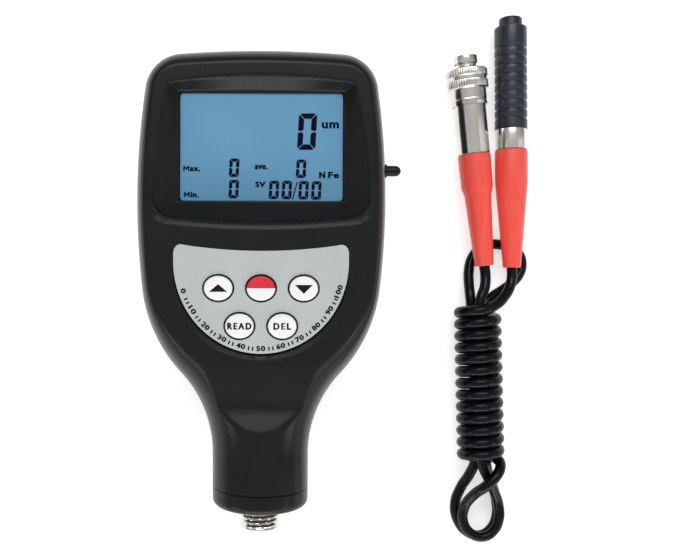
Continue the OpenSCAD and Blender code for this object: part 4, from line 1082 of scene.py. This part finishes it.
barrel_prof += soft([(PLUG_BOOT_END, CORE_FIT_R), (PLUG_BOOT_END, BARREL_R), (46.0, BARREL_R),
                     (BARREL_END, BARREL_R), (BARREL_END, BARREL_BORE_R)], 0.12, 3)
barrel_prof += [(BARREL_BORE_FOOT, BARREL_BORE_R), (BARREL_BORE_FOOT, 0.0)]
barrel = turned("plug_body", barrel_prof, *PLUG, nickel_mat, "gauge", ["plug_barrel"], "nickel")

# Coupling nut: a plain hub with a fine groove, then two knurled rings with a waist between them.
NUT_FOOT, NUT_BORE_R, NUT_MOUTH_R, HUB_R, HUB_GROOVE_R = 46.2, 4.62, 5.48, 5.05, 4.92
NUT_RING_R, NUT_WAIST_R = 5.8, 5.55
KNURL_FROM_R, KNURL_DEPTH, KNURLS = 5.7, 0.13, 56


def knurl(s, r, a):
    if r < KNURL_FROM_R:
        return 0.0
    return -KNURL_DEPTH * (0.5 + 0.5 * math.cos(KNURLS * a))


nut_prof = [(NUT_FOOT, NUT_BORE_R), (NUT_FOOT, HUB_R - 0.05), (NUT_FOOT + 0.1, HUB_R), (47.2, HUB_R),
            (47.35, HUB_GROOVE_R), (47.7, HUB_GROOVE_R), (47.85, HUB_R), (50.75, HUB_R), (51.05, 5.6),
            (51.25, NUT_RING_R), (53.15, NUT_RING_R), (53.3, NUT_RING_R - 0.15), (53.4, NUT_WAIST_R),
            (54.25, NUT_WAIST_R), (54.35, NUT_RING_R - 0.15), (54.5, NUT_RING_R), (56.15, NUT_RING_R),
            (56.4, 5.68), (NUT_END, 5.62), (NUT_END, 5.56), (56.3, NUT_MOUTH_R), (51.7, NUT_MOUTH_R),
            (51.7, NUT_BORE_R), (NUT_FOOT, NUT_BORE_R)]
nut = turned("plug_nut", nut_prof, *PLUG, nickel_mat, "coupling_nut", ["coupling_nut"], "nickel",
             n=336, angle=28, shape=knurl)
# Tip shell with a groove round it and a hollow for the insert.
TIP_FOOT, TIP_END, TIP_R, TIP_GROOVE_R, TIP_BORE_R = 47.6, 60.5, 3.4, 2.95, 2.5
tip_prof = soft([(TIP_FOOT, 2.9), (TIP_FOOT, TIP_R), (57.1, TIP_R), (57.3, TIP_GROOVE_R),
                 (58.1, TIP_GROOVE_R), (58.3, TIP_R), (TIP_END, TIP_R), (TIP_END, TIP_GROOVE_R)], 0.12, 3)
tip_prof += [(NUT_END, TIP_BORE_R), (TIP_FOOT, TIP_BORE_R), (TIP_FOOT, 2.9)]
tip = turned("plug_nose", tip_prof, *PLUG, nickel_mat, "gauge", ["plug_tip"], "nickel")

# Finishes of the CAD pieces that stay.
FINISH = (
    (window_mat, ["display_window"]), (lcd_mat, ["lcd_panel"]), (milky_mat, ["backlight"]),
    (strip_mat, ["contact_strip"]), (board_mat, ["main_board", "keypad_board"]), (grip_mat, ["battery_door"]),
    (black_mat, ["board_parts", "key_switches", "battery_tray", "interface_jack", "socket_insert",
                 "plug_insert"]),
    (steel_mat, ["board_spacers", "case_screws", "contact_springs", "contact_plates", "sensor_pole",
                 "nose_spring"]),
    (cell_mat, ["cell_1", "cell_2", "cell_3", "cell_4"]), (dust_mat, ["dust_plug"]),
    (gold_mat, ["socket_contacts", "plug_pins"]), (copper_mat, ["sensor_coil"]),
)
for mat, names in FINISH:
    for name in names:
        slots = nodes[name].data.materials
        slots.clear()
        slots.append(mat)

# Floor and world: sizes in metres, a white that the camera, metal and glass see, and the sky's strength.
STAGE_HALF, STAGE_Z = 1.5, -0.0002
STAGE_WHITE, STAGE_GLOW = (0.80, 0.80, 0.80, 1), (0.55, 0.55, 0.55, 1)
HORIZON, ZENITH = 0.208, 0.576


def stage_floor():
    m, nt, b = new_material("floor_white")
    put(b, Base_Color=STAGE_WHITE, Roughness=0.9, Specular_IOR_Level=0.0, Emission_Color=STAGE_GLOW)
    lp = nt.nodes.new("ShaderNodeLightPath")
    seen = lp.outputs["Is Camera Ray"]
    for ray in ("Is Glossy Ray", "Is Transmission Ray"):
        both = nt.nodes.new("ShaderNodeMath")
        both.operation = "MAXIMUM"
        nt.links.new(seen, both.inputs[0])
        nt.links.new(lp.outputs[ray], both.inputs[1])
        seen = both.outputs[0]
    put(b, Emission_Strength=seen)
    me = bpy.data.meshes.new("floor")
    corners = ((-1, -1), (1, -1), (1, 1), (-1, 1))
    me.from_pydata([(x * STAGE_HALF, y * STAGE_HALF, STAGE_Z) for x, y in corners], [], [(0, 1, 2, 3)])
    me.materials.append(m)
    ob = add("floor", me)


def sky():
    w = bpy.data.worlds.new("sky")
    scene.world = w
    w.use_nodes = True
    nt = w.node_tree
    bg = nt.nodes["Background"]
    up = remap(nt, part_of(nt, "Generated", "Z"), HORIZON, ZENITH, 0.0, 0.95)
    lp = nt.nodes.new("ShaderNodeLightPath")
    pick = nt.nodes.new("ShaderNodeMix")
    pick.data_type = "FLOAT"
    put(pick, Factor=lp.outputs["Is Camera Ray"], A=up, B=1.0)
    put(bg, Strength=pick.outputs["Result"], Color=(1, 1, 1, 1))


# Lamps aimed at the origin: place and size in metres, then power in watts.
LIGHTS = (
    ("light_top", (0.0, 0.40, 0.61), (0.5, 0.16), 1.98),
    ("light_foot", (0.05, -0.78, 0.30), (0.9, 0.2), 3.78),
    ("light_front_left", (-0.60, -0.56, 0.30), (0.35, 0.2), 1.04),
    ("light_front_right", (0.66, -0.52, 0.30), (0.35, 0.2), 1.04),
    ("light_left", (-0.66, 0.0, 0.38), (0.30, 0.7), 0.1),
    ("light_right", (0.74, 0.05, 0.38), (0.30, 0.7), 0.28),
)


def area(name, at, size, power):
    li = bpy.data.lights.new(name, "AREA")
    li.shape = "RECTANGLE"
    li.size, li.size_y = size
    li.energy = power
    ob = add(name, li)
    ob.location = at
    ob.rotation_euler = (-Vector(at)).to_track_quat("-Z", "Y").to_euler()


stage_floor()
sky()
for light in LIGHTS:
    area(*light)
scene.view_settings.view_transform = "Standard"
